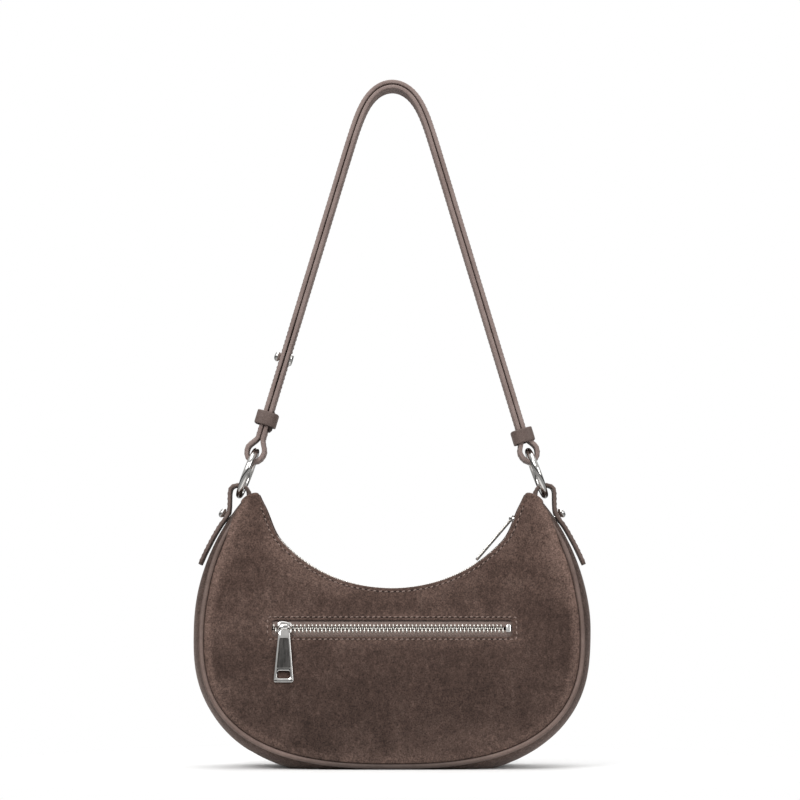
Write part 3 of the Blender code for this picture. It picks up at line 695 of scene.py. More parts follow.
def metal(name, colour, roughness):
    """Metal with faint patches and fine scratches."""
    n = Surface(name, roughness, 1.0)
    tint = n.mix(n.range(n.noise(320, 2.0), 0.35, 0.7), colour, shaded(colour, 0.90))
    scratch = n.noise(900, 2.0, 0.5, 0.0, n.moved((1.0, 0.15, 0.15), (0.3, 0.5, 0.2)))
    rough = n.range(scratch, 0.35, 0.75, roughness * 0.75, roughness * 1.6)
    return n.finish(Base_Color=tint, Normal=n.bump(scratch, 0.05, 0.0001), Roughness=rough)


def woven(name, dark, light, scale):
    """Cloth with ribs and a crossing weave."""
    n = Surface(name, 0.9)
    share = n.math("MULTIPLY", n.wave(scale, "X", 0.3), n.wave(scale * 0.62, "DIAGONAL", 0.3))
    colour = n.ramp(share, ((0.05, dark), (0.7, light)))
    colour = n.times(colour, n.range(n.noise(400, 3.0), 0.3, 0.7, 0.82, 1.12))
    return n.finish(Base_Color=colour, Normal=n.bump(share, 0.7, 0.0003), Sheen_Weight=0.2,
                    Sheen_Roughness=0.6)


def thread(name, dark, light):
    """Sewing thread with its twisted plies."""
    n = Surface(name, 0.75)
    ply = n.wave(900, "DIAGONAL", 0.4)
    colour = n.ramp(ply, ((0.1, dark), (0.8, light)))
    return n.finish(Base_Color=colour, Normal=n.bump(ply, 0.6, 0.0002), Sheen_Weight=0.25,
                    Sheen_Roughness=0.5)


def plain(name, colour, roughness):
    n = Surface(name, roughness)
    tone = n.mix(n.range(n.noise(300, 3.0), 0.3, 0.7), colour, shaded(colour, 1.25))
    return n.finish(Base_Color=tone, Normal=n.bump(n.noise(900, 2.0), 0.3, 0.0002))


# The panels' suede carries the painted sheen band, the painted crease shade and the painted height gradient.
body_suede = suede("body_suede", (0.048, 0.029, 0.023), (0.073, 0.045, 0.036), (0.108, 0.070, 0.057), True)
gusset_suede = suede("gusset_suede", (0.062, 0.040, 0.033), (0.086, 0.057, 0.047), (0.116, 0.079, 0.066))
# The piping's last flag gives it painted shade near the floor.
piping_leather = leather("piping_leather", (0.138, 0.094, 0.078), (0.198, 0.140, 0.120), 0.48, 2200, 0.05,
                         True)
tab_leather = leather("tab_leather", (0.120, 0.085, 0.072), (0.185, 0.135, 0.118), 0.55, 1500, 0.1)
strap_skin = leather("strap_skin", (0.230, 0.168, 0.150), (0.320, 0.245, 0.222), 0.52, 1500, 0.1)
keeper_leather = leather("keeper_leather", (0.124, 0.089, 0.078), (0.176, 0.129, 0.114), 0.5, 1400, 0.1)
# Near-black leather for the strap's tail: painted shade where it lies in the shadow of the leg.
painted_shade_leather = leather("painted_shade_leather", (0.028, 0.018, 0.015), (0.060, 0.040, 0.034), 0.6, 1400)
zip_tape = woven("zip_tape_weave", (0.190, 0.136, 0.116), (0.290, 0.212, 0.184), 520)
lining_cloth = woven("lining_weave", (0.050, 0.037, 0.031), (0.085, 0.064, 0.055), 420)
board_sheet = plain("board_sheet", (0.115, 0.100, 0.085), 0.8)
strap_thread = thread("strap_thread", (0.120, 0.086, 0.074), (0.230, 0.172, 0.152))
taupe_thread = thread("taupe_thread", (0.180, 0.118, 0.096), (0.360, 0.252, 0.212))
# Near-black cups in the stitch holes: painted shade in the holes.
hole_painted_shade = plain("stitch_hole_painted_shade", (0.008, 0.005, 0.004), 1.0)
zip_metal = metal("zip_metal_finish", (0.66, 0.63, 0.585), 0.24)
polished = metal("polished_finish", (0.80, 0.785, 0.76), 0.07)
# Dark metal for the pullers' sunk fields, and painted shade with a painted reflection of the dark bag on
# their back halves.
dark_field_and_painted_shade = metal("dark_field_and_painted_shade_metal", (0.105, 0.100, 0.095), 0.32)


# Panels; a painted light or fade pair gives the distance at which it starts to fall and the width of its fall

panel_steps = 230
tip_blend_share = 0.055
tip_setback = 0.0010
tip_cap_steps = 12
tip_cap_height_share = 0.42
edge_roll = 0.0015
edge_roll_shares = (0, 0.10, 0.28, 0.55, 0.85, 1.0)
window_roll = 0.0009
window_roll_shares = (0, 0.12, 0.35, 0.7, 1.0)
window_edge_step = 0.0022
line_clear_share = 0.75
stitch_sink = 0.00022
mouth_stitch_inset = 0.0026
window_lines = ((0.0013, 0), (0.0017, stitch_sink), (0.0021, 0), (0.0026, 0), (0.0032, 0))
edge_lines = ((0.0021, 0), (mouth_stitch_inset, stitch_sink), (0.0031, 0), (0.0038, 0))
grid_step = 0.0021
grid_row_share = 0.87
grid_edge_gap = 0.0046
grid_low = 0.003
grid_high = 0.172
grid_half_width = 0.126
grid_window_gap = (0.0044, 0.0042)
swell_plane = 0.05
swell_forms = ((0.0005, 0.055, 1.3), (0.00025, 0.022, 5.2))
swell_fade = 0.012
swell_window_fade = 0.010
bulge_height = 0.0007
bulge_fade = 0.010
bulge_window_fade = 0.012
# Painted light on the suede: where the lighter sheen band and the painted crease shade fall and fade.
painted_light_fall = (0.0035, 0.0035)
painted_light_mouth_fade = 0.006
wide_painted_light_fall = (0.003, 0.024)
wide_painted_light_mouth_fade = 0.014
band_painted_light_share = 0.60
mouth_painted_light_fall = (0.004, 0.012)
mouth_painted_light_fade = 0.003
window_painted_light_fall = (0.001, 0.009)
crease_shade_width = 0.0013
crease_shade_mouth_fade = 0.004
panel_sheet = 0.0011
far_away = 1.0

# Panel edge round the mouth
edge_dip = 0.0004
edge_waver = 0.0003
edge_waver_form = (0.03, 2.2)
pocket_dip = 0.0011
pocket_dip_start = 0.15
pocket_dip_width = 0.4
right_dip_share = 0.6
ear_height = 0.0042
ear_start_share = 0.70
ear_width_share = 0.23


def panel_place(point, side, depth):
    """Point of a panel at a depth below its outer face."""
    slope = half_depth_slope(point.z)
    inward = Vector((0, 1, slope)).normalized()
    inward.y = -side * inward.y
    return Vector((point.x, side * half_depth(point.z), point.z)) + inward * depth


def mouth_edge(angle, side):
    """Radius of a panel's edge round the mouth, with its waver and the ear beside the tip."""
    far = abs(angle) / tip_angle
    dip = edge_dip + edge_waver * waver(Vector((angle * mouth_radius, side, 0)), *edge_waver_form)
    if side < 0:
        dip += (pocket_dip * ease((abs(angle) - pocket_dip_start) / pocket_dip_width)
                * (1.0 if angle < 0 else right_dip_share))
    return mouth_radius + dip * (1 - far) - ear_height * ease((far - ear_start_share) / ear_width_share)


def tip_cap(start, end):
    """Rounded end of a panel between its seam and the mouth."""
    middle = (start + end) / 2
    across = (end - start) / 2
    up = Vector((-across.y, across.x))
    if up.y < 0:
        up = -up
    return [middle - across * math.cos(turn) + up * (tip_cap_height_share * math.sin(turn))
            for turn in (math.pi * step / tip_cap_steps for step in range(1, tip_cap_steps))]


def panel_edges(side):
    """Flat (x, z) lines of a panel's edge along the seam and of its edge round the mouth."""
    edge = []
    mouth = []
    for index in range(panel_steps + 1):
        share = index / panel_steps
        where = share * outline_steps
        low = min(int(where), outline_steps - 1)
        base = seam[low].lerp(seam[low + 1], where - low)
        normal = outline_normals[low].lerp(outline_normals[low + 1], where - low).normalized()
        tail = ease(min(share, 1 - share) / tip_blend_share)
        inset = inset_at(where) * (1 - tail) - tip_setback * (1 - tail)
        place = base - normal * ((piping_radius - touch_gap) * tail - inset)
        edge.append(Vector((place.x, place.z)))
        angle = tip_angle * (2 * index / panel_steps - 1)
        place = mouth_point(angle, mouth_edge(angle, side))
        mouth.append(Vector((place.x, place.z)))
    return edge, mouth


def rolled(roll, share):
    """Depth of a rolled edge at a share of its way in."""
    return roll - math.sqrt(max(roll ** 2 - (roll * (1 - share)) ** 2, 0))


def to_window(point):
    """Distance from a flat point of the panel to the pocket's window."""
    return math.hypot(max(abs(point.x) - window_half_length, 0),
                      max(abs(point.y - pocket_height) - window_half_height, 0))


def window_ring(loop, distance):
    """Loop round the window at a distance, laid on the panel's (x, z) plane."""
    slope_cos = 1 / math.sqrt(1 + half_depth_slope(pocket_height) ** 2)
    return [Vector((p.x, pocket_height + p.y * slope_cos)) for p in inset_loop(loop, -distance)]


def panel_grid(border, to_border, window):
    """Points that fill a panel inside its border lines and outside the window's."""
    points = []
    row = 0
    z = grid_low
    while z < grid_high:
        x = -grid_half_width + (grid_step / 2 if row % 2 else 0)
        while x < grid_half_width:
            point = Vector((x, z))
            near_window = (window and abs(x) < window_half_length + grid_window_gap[0]
                           and abs(z - pocket_height) < window_half_height + grid_window_gap[1])
            if not near_window and inside(point, border) and to_border(point) > grid_edge_gap:
                points.append(point)
            x += grid_step
        z += grid_step * grid_row_share
        row += 1
    return points


def build_panel(side, name, window):
    """Suede sheet with rolled edges, stitch lines and a soft swell, and masks for its painted light: a
    lighter sheen band and painted shade in the creases.
    """
    edge, mouth = panel_edges(side)
    border = anticlockwise(edge + tip_cap(edge[-1], mouth[-1])
                           + list(reversed(mouth)) + tip_cap(mouth[0], edge[0]))
    to_border, to_edge, to_mouth = distance_to(border), distance_to(edge), distance_to(mouth)
    points = []
    lines = []
    sinks = []

    def put_loop(loop, sink, room=0, beside_mouth=False):
        kept = [point for point in loop if not room or to_border(point) > room * line_clear_share]
        start = len(points)
        points.extend(kept)
        sinks.extend([(sink, beside_mouth)] * len(kept))
        lines.extend((start + index, start + (index + 1) % len(kept)) for index in range(len(kept)))

    for share in edge_roll_shares:
        loop = inset_loop(border, share * edge_roll) if share else border
        put_loop(loop, rolled(edge_roll, share), share * edge_roll)
    opening = []
    if window:
        box = rounded_box(window_half_length, window_half_height, window_corner)
        loop = anticlockwise(dense_loop(box, window_edge_step))
        opening = window_ring(loop, 0)
        for share in window_roll_shares:
            put_loop(window_ring(loop, share * window_roll), rolled(window_roll, share))
        for distance, sink in window_lines:
            put_loop(window_ring(loop, distance), sink)
    for distance, sink in edge_lines:
        put_loop(inset_loop(border, distance), sink, distance, True)
    grid = panel_grid(border, to_border, window)
    points.extend(grid)
    sinks.extend([(0, False)] * len(grid))
    flat, _, faces, origins, _, _ = delaunay_2d_cdt(points, lines, [], 0, 1e-7)

    verts = []
    masks = {"painted_light": [], "wide_painted_light": [], "crease": []}
    for index, point in enumerate(flat):
        drop, beside_mouth = sinks[origins[index][0]] if origins[index] else (0, False)
        from_edge = to_edge(point)
        from_mouth = to_mouth(point)
        from_window = to_window(point) if window else far_away
        if beside_mouth and from_mouth >= from_edge:
            drop = 0
        place = Vector((point.x, side * swell_plane, point.y))
        swell = sum(height * waver(place, size, seed) for height, size, seed in swell_forms)
        fade = ease(min(from_edge, from_mouth) / swell_fade) * ease(from_window / swell_window_fade)
        bulge = bulge_height * ease(from_edge / bulge_fade) * ease(from_mouth / bulge_fade)
        bulge *= ease(from_window / bulge_window_fade)
        verts.append(panel_place(Vector((point.x, 0, point.y)), side, drop - swell * fade - bulge))
        # Masks of painted light: the lighter sheen band, its wide band, and painted shade in the creases.
        masks["painted_light"].append(fading(from_edge, *painted_light_fall) * ease(from_mouth / painted_light_mouth_fade))
        masks["wide_painted_light"].append(max(
            fading(from_edge, *wide_painted_light_fall) * ease(from_mouth / wide_painted_light_mouth_fade),
            band_painted_light_share * ease(from_mouth / mouth_painted_light_fade) * fading(from_mouth, *mouth_painted_light_fall),
            band_painted_light_share * fading(from_window, *window_painted_light_fall)))
        masks["crease"].append(max(1 - from_edge / crease_shade_width, 0) * ease(from_mouth / crease_shade_mouth_fade))

    kept = []
    for face in faces:
        middle = face_middle(flat, face)
        if inside(middle, border) and not inside(middle, opening):
            kept.append(face)
    used = sorted({i for face in kept for i in face})
    renumbered = {old: new for new, old in enumerate(used)}
    shape = Shape()
    shape.add([verts[i] for i in used], [tuple(renumbered[i] for i in face) for face in kept])
    item = shape.piece(name + "_skin", [body_suede], "bag", (name,))
    mesh = item.data
    for key, values in masks.items():
        layer = mesh.attributes.new(key, "FLOAT", "POINT")
        for new, old in enumerate(used):
            layer.data[new].value = values[old]
    facing = sum((polygon.normal * polygon.area for polygon in mesh.polygons), Vector((0, 0, 0)))
    if facing.y * side < 0:
        mesh.flip_normals()
    sheet = item.modifiers.new("thickness", "SOLIDIFY")
    sheet.thickness = panel_sheet
    sheet.offset = -1


# Gusset and piping

gusset_columns = 26
gusset_rest = 0.0002
gusset_swell = 0.0004
gusset_swell_form = (0.03, 7.7)
gusset_floor_zone = 0.01
piping_sides = 14
piping_end_share = 0.35
piping_grow_start = 0.015
piping_grow_width = 0.05
piping_waver = 0.03
piping_waver_form = (0.006, 4.4)


def build_gusset():
    shape = Shape()
    sections = []
    for index, (point, normal) in enumerate(zip(outline, outline_normals)):
        reach = half_depth(seam[index].z) - panel_thickness - inner_gap
        outside = []
        within = []
        for column in range(gusset_columns + 1):
            share = 2 * column / gusset_columns - 1
            drop = inset_at(index) * abs(share) ** crown_power
            outer = point - normal * drop + y_axis * reach * share
            soft = waver(outer, *gusset_swell_form) * gusset_swell * (1 - share * share)
            outer -= normal * (gusset_rest - (soft if outer.z > gusset_floor_zone else 0))
            inner = outer - normal * gusset_thickness
            outer.z = max(outer.z, 0.0)
            inner.z = max(inner.z, gusset_thickness)
            outside.append(outer)
            within.append(inner)
        sections.append(outside + list(reversed(within)))
    shape.loft(sections)
    shape.piece("gusset_skin", [gusset_suede], "bag", ("gusset",), leather_sharp)


def build_piping(side, name):
    """Cord in the seam, thinner towards the tips."""
    shape = Shape()
    sections = []
    for index, (point, normal) in enumerate(zip(seam, flat_normals(seam))):
        share = min(index, outline_steps - index) / outline_steps
        growth = ease((share - piping_grow_start) / piping_grow_width)
        radius = piping_radius * (piping_end_share + (1 - piping_end_share) * growth)
        radius *= 1 + piping_waver * waver(point, *piping_waver_form)
        centre = Vector((point.x, side * (half_depth(point.z) - piping_radius + radius), point.z))
        sections.append(circle(centre, normal, y_axis, radius, piping_sides))
    shape.loft(sections)
    shape.piece(name + "_cord", [piping_leather], "bag", (name,))


# Stitches on the body: pitch, length, thread radius, slant and hole radius of each kind

mouth_stitch = (0.0036, 0.0023, 0.00042, 0.14, 0.00052)
mouth_stitch_steps = 300
mouth_stitch_end = 0.075
pocket_stitch = (0.0034, 0.0022, 0.00042, 0.14, 0.00052)
pocket_stitch_half_length = 0.0776
pocket_stitch_half_height = 0.0071
pocket_stitch_corner = 0.0016
pocket_stitch_step = 0.001
stitch_seat = 0.0001
face_probe = 0.001


def build_mouth_stitches(side, name):
    shape = Shape()
    path = []
    faces = []
    limit = tip_angle - mouth_stitch_end
    for step in range(mouth_stitch_steps + 1):
        angle = limit * (2 * step / mouth_stitch_steps - 1)
        place = mouth_point(angle, mouth_edge(angle, side) + mouth_stitch_inset)
        path.append(panel_place(place, side, stitch_seat))
        faces.append((panel_place(place, side, -face_probe) - panel_place(place, side, 0)).normalized())
    shape.stitches(path, faces, mouth_stitch)
    shape.piece(name, [taupe_thread, hole_painted_shade], "bag")


def pocket_place(a, b, n):
    """Place in the pocket's plane: a along the zip, b up the panel, n outwards."""
    slope = half_depth_slope(pocket_height)
    up = Vector((0, -slope, 1)).normalized()
    out = Vector((0, -1, -slope)).normalized()
    base = Vector((0, -half_depth(pocket_height), pocket_height))
    return base + x_axis * a + up * b + out * n


def panel_from_pocket(a, b, n):
    """Like pocket_place, on the panel's curved face."""
    slope = half_depth_slope(pocket_height)
    z = pocket_height + b / math.sqrt(1 + slope * slope)
    return panel_place(Vector((a, 0, z)), -1, -n)


def build_pocket_stitches():
    shape = Shape()
    loop = rounded_box(pocket_stitch_half_length, pocket_stitch_half_height, pocket_stitch_corner)
    line = dense_loop(loop, pocket_stitch_step) + [loop[0]]
    path = [panel_from_pocket(p.x, p.y, -stitch_seat) for p in line]
    faces = [(panel_from_pocket(p.x, p.y, face_probe) - panel_from_pocket(p.x, p.y, 0)).normalized()
             for p in line]
    shape.stitches(path, faces, pocket_stitch)
    shape.piece("pocket_stitches", [taupe_thread, hole_painted_shade], "bag")


# Zip chains; a tooth's rings give the place across the zip, the half length and the half thickness

tooth_form = ((0.00275, 0.00042, 0.00060), (0.00262, 0.00056, 0.00085), (0.00200, 0.00061, 0.00098),
              (0.00130, 0.00060, 0.00100), (0.00100, 0.00050, 0.00090), (0.00070, 0.00038, 0.00070),
              (0.00030, 0.00046, 0.00072), (-0.00010, 0.00050, 0.00076), (-0.00045, 0.00044, 0.00066),
              (-0.00068, 0.00026, 0.00040))
tooth_sides = 10
tooth_power = 0.6
tape_thickness = 0.0007
tape_cord = ((0.0010, -0.00140), (0.0012, -0.00105), (0.0017, -0.00090), (0.0022, -0.00105),
             (0.0030, -0.00115))
pocket_tape_form = (*tape_cord, (0.0040, -0.0012), (0.0050, -0.0019), (0.0060, -0.0021), (0.0085, -0.0021))
pocket_tape_half_length = 0.0765
pocket_tape_steps = 60
mouth_tape_edge = 0.0042
mouth_tape_form = (*tape_cord, (mouth_tape_edge, -0.0015))
mouth_tape_depth = -0.0016
mouth_tape_rise = 0.0004
mouth_tape_steps = 120
mouth_tape_columns = 5
mouth_chain_lift = 0.00025
zip_start_gap = 0.0005
zip_stop_gap = 0.0004
zip_stop_length = 0.0034
zip_stop_corner = 0.0007
zip_stop_front = 0.0004
zip_stop_back = -0.0024
zip_stop_steps = ((0, 0.0006, 0.0002), (0.00025, 0.0002, 0), (0.0006, 0, 0))
zip_end_steps = 10
zip_end_columns = 16
zip_end_back = 0.0020
zip_end_recess = 0.0004
zip_end_lift = 0.0006
zip_end_rim = 0.0007
zip_end_crease = 0.00035
zip_end_crease_width = 0.09


def tooth(place, a, side, middle):
    sections = []
    for b, half_a, half_n in tooth_form:
        ring = []
        for step in range(tooth_sides):
            turn = 2 * math.pi * step / tooth_sides
            ring.append(place(a + half_a * squared(math.cos(turn), tooth_power), side * b,
                              middle + half_n * squared(math.sin(turn), tooth_power)))
        sections.append(ring)
    return sections


def build_chain(kind, place, sides, start, count, middle, half_length, steps, tape_form):
    """Teeth and tape of both halves of a zip, whose second row of teeth stands half a pitch on."""
    for row, (side, word) in enumerate(sides):
        teeth = Shape()
        for index in range(count):
            a = start + first_tooth + row * tooth_pitch / 2 + index * tooth_pitch
            teeth.loft(tooth(place, a, side, middle))
        teeth.piece(kind + "_metal_teeth_" + word, [zip_metal], "bag",
                    (kind + "_teeth_" + word,))
        tape = Shape()
        sections = []
        for step in range(steps + 1):
            a = half_length * (2 * step / steps - 1)
            form = tape_form(a)
            sections.append([place(a, side * b, n) for b, n in form]
                            + [place(a, side * b, n - tape_thickness) for b, n in reversed(form)])
        tape.loft(sections)
        tape.piece(kind + "_zip_tape_" + word, [zip_tape], "bag", (kind + "_tape_" + word,))


def build_pocket_zip():
    middle = -chain_recess - chain_thickness / 2
    start = -(window_half_length - zip_start_gap)
    end = window_half_length - zip_stop_gap - zip_stop_length - touch_gap
    build_chain("pocket", pocket_place, ((1, "upper"), (-1, "lower")), start,
                int((end - start) / tooth_pitch), middle, pocket_tape_half_length, pocket_tape_steps,
                lambda a: pocket_tape_form)
    stop = end + touch_gap
    points = [(stop, -chain_half_width), (stop + zip_stop_length, -chain_half_width),
              (stop + zip_stop_length, chain_half_width), (stop, chain_half_width)]
    outer = anticlockwise(rounded_polygon(points, zip_stop_corner, 5))
    shape = Shape()
    shape.relief(stepped(outer, zip_stop_front, zip_stop_back, zip_stop_steps), pocket_place)
    shape.piece("pocket_zip_end_block", [polished], "bag", ("pocket_zip_stop",), metal_sharp)


def mouth_place(a, b, n):
    """Place on the mouth's arc: a along it from its middle, b across it, n outwards from its edge."""
    return mouth_point(a / mouth_radius, mouth_radius - n) + y_axis * b


def mouth_tape(a):
    """Tape's form at a place on the mouth's arc, where it reaches out to the panels."""
    reach = mouth_reach(a / mouth_radius)
    shares = [(column + 1) / mouth_tape_columns for column in range(mouth_tape_columns)]
    return [*mouth_tape_form, *((mouth_tape_edge + (reach - mouth_tape_edge) * share,
                                 mouth_tape_depth + mouth_tape_rise * share) for share in shares)]


def build_mouth_zip():
    limit = mouth_zip_angle * mouth_radius
    middle = -chain_recess - chain_thickness / 2 + mouth_chain_lift
    build_chain("mouth", mouth_place, ((-1, "pocket_side"), (1, "plain_side")), -limit,
                int(2 * limit / tooth_pitch), middle, limit, mouth_tape_steps, mouth_tape)


def build_zip_end(side, word):
    """Leather end of the mouth's zip, crowned, with a crease along its middle."""
    start = mouth_zip_angle + touch_gap / mouth_radius
    shape = Shape()
    sections = []
    for step in range(zip_end_steps + 1):
        turn = side * (start + (zip_end_angle - start) * step / zip_end_steps)
        reach = mouth_reach(turn)
        lift = zip_end_lift * math.sin(math.pi * step / zip_end_steps)
        top = []
        low = []
        for column in range(zip_end_columns + 1):
            share = 2 * column / zip_end_columns - 1
            rim = zip_end_rim * abs(share) ** 6
            crease = zip_end_crease * math.exp(-(share / zip_end_crease_width) ** 2)
            n = -zip_end_recess + lift * (1 - share * share) - rim - crease
            top.append(mouth_point(turn, mouth_radius - n) + y_axis * reach * share)
            low.append(mouth_point(turn, mouth_radius + zip_end_back) + y_axis * reach * share)
        sections.append(top + list(reversed(low)))
    shape.loft(sections)
    shape.piece(word + "_zip_end_leather", [tab_leather], "bag",
                (word + "_zip_end",), zip_end_sharp)


# Sliders and pullers; the plate gives (place along the zip, half width)

slider_plate = ((-0.0046, 0.0022), (-0.0042, 0.0033), (-0.0030, 0.0042), (-0.0012, 0.0044), (0.0010, 0.0041),
                (0.0024, 0.0036), (0.0036, 0.0035), (0.0044, 0.0030), (0.0046, 0.0020))
slider_low = 0.00006
slider_curve_steps = 4
slider_steps = ((0, 0.00074, 0), (0.00016, 0.00030, 0), (0.00042, 0.00008, 0), (0.00085, 0, 0))
slider_crown_share = 0.55
slider_crown_rise = 0.00012
flange_inner = 0.00297
flange_least = 0.0031
flange_form = ((0, slider_low + 0.0003), (0, -0.0010), (0.5, -0.00115), (1, -0.0009),
               (1, slider_low + 0.0004))
pin_height = slider_top + pin_rise
bail_line = ((0.0037, slider_top - 0.0003), (0.0036, slider_top + 0.0009), (0.0032, pin_height - 0.0004),
             (0.0022, pin_height + 0.00025), (0.0009, pin_height + 0.00005), (0, pin_height))
bail_sides = 12
bail_foot_start = 0.35
bail_foot_width = 0.5
bail_foot_widening = 0.75
bail_foot_thinning = 0.10
puller_length = 0.0346
puller_half_thickness = 0.0009
puller_gap = 0.0004
puller_neck = (0.0021, 0.0018)
puller_shoulder = (0.0036, 0.0040)
puller_end_half_width = 0.0063
puller_corners = (0.0004, 0.0004, 0.0011, 0.0012, 0.0012, 0.0011)
puller_rim_steps = ((0, 0.00036, 0.00030), (0.00010, 0.00014, 0.0001), (0.00034, 0, 0))
puller_field = (0.0070, 0.0258)
puller_field_border = 0.0011
puller_field_corner = 0.0008
puller_field_steps = ((0, 0, 0), (0.00022, 0.00046, 0), (0.0009, 0.0005, 0))
puller_window = (0.0274, 0.0322)
puller_window_border = 0.0019
puller_window_corner = 0.0012
puller_window_steps = ((-0.00034, 0, 0), (-0.0001, 0.00016, 0.0001), (0, 0.00038, 0.0003))
puller_eye = ((0.00118, -0.0017), (0.00130, -0.0020), (0.0016, -0.00215), (0.0019, -0.0020),
              (0.0020, -0.0017))
puller_eye_sides = 28
puller_eye_end = 0.0025
sunk_depths = (0.0002, 0.00062)
under_depth = -0.0001
facing_front = 0.9
facing_side = 0.6


def build_slider(kind, place, pin_along_zip):
    """Two-lobed plate with flanges and an arched bail, in zip coordinates."""
    shape = Shape()
    right_side = [Vector((a, -half)) for a, half in slider_plate]
    left_side = [Vector((a, half)) for a, half in reversed(slider_plate)]
    outer = anticlockwise(smooth_curve(right_side + left_side, slider_curve_steps, True))
    crown = [point * slider_crown_share for point in outer]
    shape.relief(stepped(outer, slider_top, slider_low, slider_steps)
                 + [(crown, slider_top + slider_crown_rise, slider_low)], place)
    for side in (-1, 1):
        sections = []
        for a, half in slider_plate[1:-1]:
            width = max(half, flange_least) - flange_inner
            sections.append([place(a, side * (flange_inner + width * share), n) for share, n in flange_form])
        shape.loft(sections)
    along, across = (x_axis, y_axis) if pin_along_zip else (y_axis, x_axis)
    line = [along * t + z_axis * n for t, n in bail_line]
    line += [along * -t + z_axis * n for t, n in reversed(bail_line[:-1])]
    line = smooth_curve(line, slider_curve_steps)
    middle = len(line) / 2
    sections = []
    for index, point in enumerate(line):
        before = line[max(index - 1, 0)]
        after = line[min(index + 1, len(line) - 1)]
        up = (after - before).normalized().cross(across)
        foot = ease((min(abs(index - middle) / middle, 1) - bail_foot_start) / bail_foot_width)
        wide = across * (pin_radius * (1 + bail_foot_widening * foot))
        thick = up * (pin_radius * (1 - bail_foot_thinning * foot))
        sections.append([place(*p) for p in circle(point, wide, thick, 1, bail_sides)])
    shape.loft(sections)
    shape.piece(kind + "_slider_body", [polished], kind + "_slider",
                (kind + "_slider",), metal_sharp)


def puller_loop(span, border, corner):
    """Rounded loop inside the puller's tapering outline."""
    slope = (puller_end_half_width - puller_shoulder[0]) / (puller_length - puller_shoulder[1])
    low, high = (puller_shoulder[0] + slope * (at - puller_shoulder[1]) - border for at in span)
    return anticlockwise(rounded_polygon([(-low, span[0]), (low, span[0]), (high, span[1]), (-high, span[1])],
                                         corner))


def build_puller(kind, base, along_pin, away, face):
    """Flat puller: rim, sunk bare field, cross bar and window, with a round eye on the pin."""
    def place(width, length, depth):
        return base + along_pin * width + away * length + face * depth

    neck, shoulder = puller_neck, puller_shoulder
    points = [(-neck[0], neck[1]), neck, shoulder, (puller_end_half_width, puller_length),
              (-puller_end_half_width, puller_length), (-shoulder[0], shoulder[1])]
    outer = anticlockwise(rounded_polygon(points, puller_corners))
    field = puller_loop(puller_field, puller_field_border, puller_field_corner)
    window = puller_loop(puller_window, puller_window_border, puller_window_corner)
    levels = []
    for loop, steps in ((outer, puller_rim_steps), (field, puller_field_steps),
                        (window, puller_window_steps)):
        levels += stepped(loop, puller_half_thickness, -puller_half_thickness, steps)
    shape = Shape()
    shape.relief(levels, place, [len(levels) - 1])
    eye = [*puller_eye, *((radius, -width) for radius, width in reversed(puller_eye))]
    shape.turned(eye, base, along_pin, puller_eye_sides, True)
    item = shape.piece(kind + "_puller_plate", [polished, dark_field_and_painted_shade, zip_metal], kind + "_puller",
                       (kind + "_puller",), plate_sharp)
    # The sunk field gets the dark metal; the back half behind the eye gets it too, as painted shade and
    # painted reflection; the side walls get the zip metal.
    for polygon in item.data.polygons:
        local = polygon.center - base
        width, length, depth = local.dot(along_pin), local.dot(away), local.dot(face)
        facing = polygon.normal.dot(face)
        sunk = (puller_field[0] < length < puller_field[1] and sunk_depths[0] < depth < sunk_depths[1]
                and facing > facing_front)
        if sunk or (length > puller_eye_end and depth < under_depth):
            polygon.material_index = 1
        elif length > puller_eye_end and abs(facing) < facing_side and abs(width) > puller_eye_end:
            polygon.material_index = 2


def build_pocket_slider():
    def place(a, b, n):
        return pocket_place(pocket_slider_x + a, b, n)

    build_slider("pocket", place, True)
    up = (pocket_place(0, 1, 0) - pocket_place(0, 0, 0)).normalized()
    out = (pocket_place(0, 0, 1) - pocket_place(0, 0, 0)).normalized()
    fall = math.asin((pin_height - puller_half_thickness - puller_gap) / puller_length)
    away = (-up * math.cos(fall) - out * math.sin(fall)).normalized()
    face = (out * math.cos(fall) - up * math.sin(fall)).normalized()
    build_puller("pocket", place(0, 0, pin_height), x_axis, away, face)


def build_mouth_slider():
    origin = mouth_point(mouth_slider_angle, mouth_radius)
    out = (mouth_point(0, 0) - origin).normalized()
    along = out.cross(y_axis)

    def place(a, b, n):
        return origin + along * -a + y_axis * b + out * n

    build_slider("mouth", place, False)
    rest_height = puller_length ** 2 / (2 * mouth_radius) + puller_half_thickness + puller_gap
    rise = math.asin((rest_height - pin_height) / puller_length)
    away = (along * math.cos(rise) + out * math.sin(rise)).normalized()
    face = (out * math.cos(rise) - along * math.sin(rise)).normalized()
    build_puller("mouth", place(0, 0, pin_height), y_axis, away, face)


# Rings and tabs

ring_stations = 120
ring_sides = 28
strip_sides = 28
strip_side_power = 0.22
strip_face_power = 0.32
tab_arch_clearance = 0.00109
tab_front_drop = 0.006
tab_arch_degrees = (0, 45, 90, 135, 170)
tab_tail_length = 0.046
tab_tail_shares = (0.20, 0.40, 0.60, 0.80, 1.00)
tab_rest_gap = 0.0009
tab_end_lift = 0.0012
tab_steps = 110
tab_curve_steps = 6
tab_smoothings = 10
tab_corner = 0.0030
tab_swell = 0.00012
tab_swell_form = (0.007, 6.1)
tab_crown = 0.00005
tab_stitch = (0.0033, 0.0021, 0.00020, 0.06, 0.0003)
tab_stitch_inset = 0.0020
tab_stitch_seat = 0.00010
tab_stitch_start = 6


def ring_frame(side):
    """Centre of a ring, the way up its lean and the way outwards along its axis."""
    centre = Vector((side * ring_centre_x, 0, ring_centre_height))
    up = Vector((-side * math.sin(ring_lean), 0, math.cos(ring_lean)))
    outward = Vector((side * math.cos(ring_lean), 0, math.sin(ring_lean)))
    return centre, up, outward


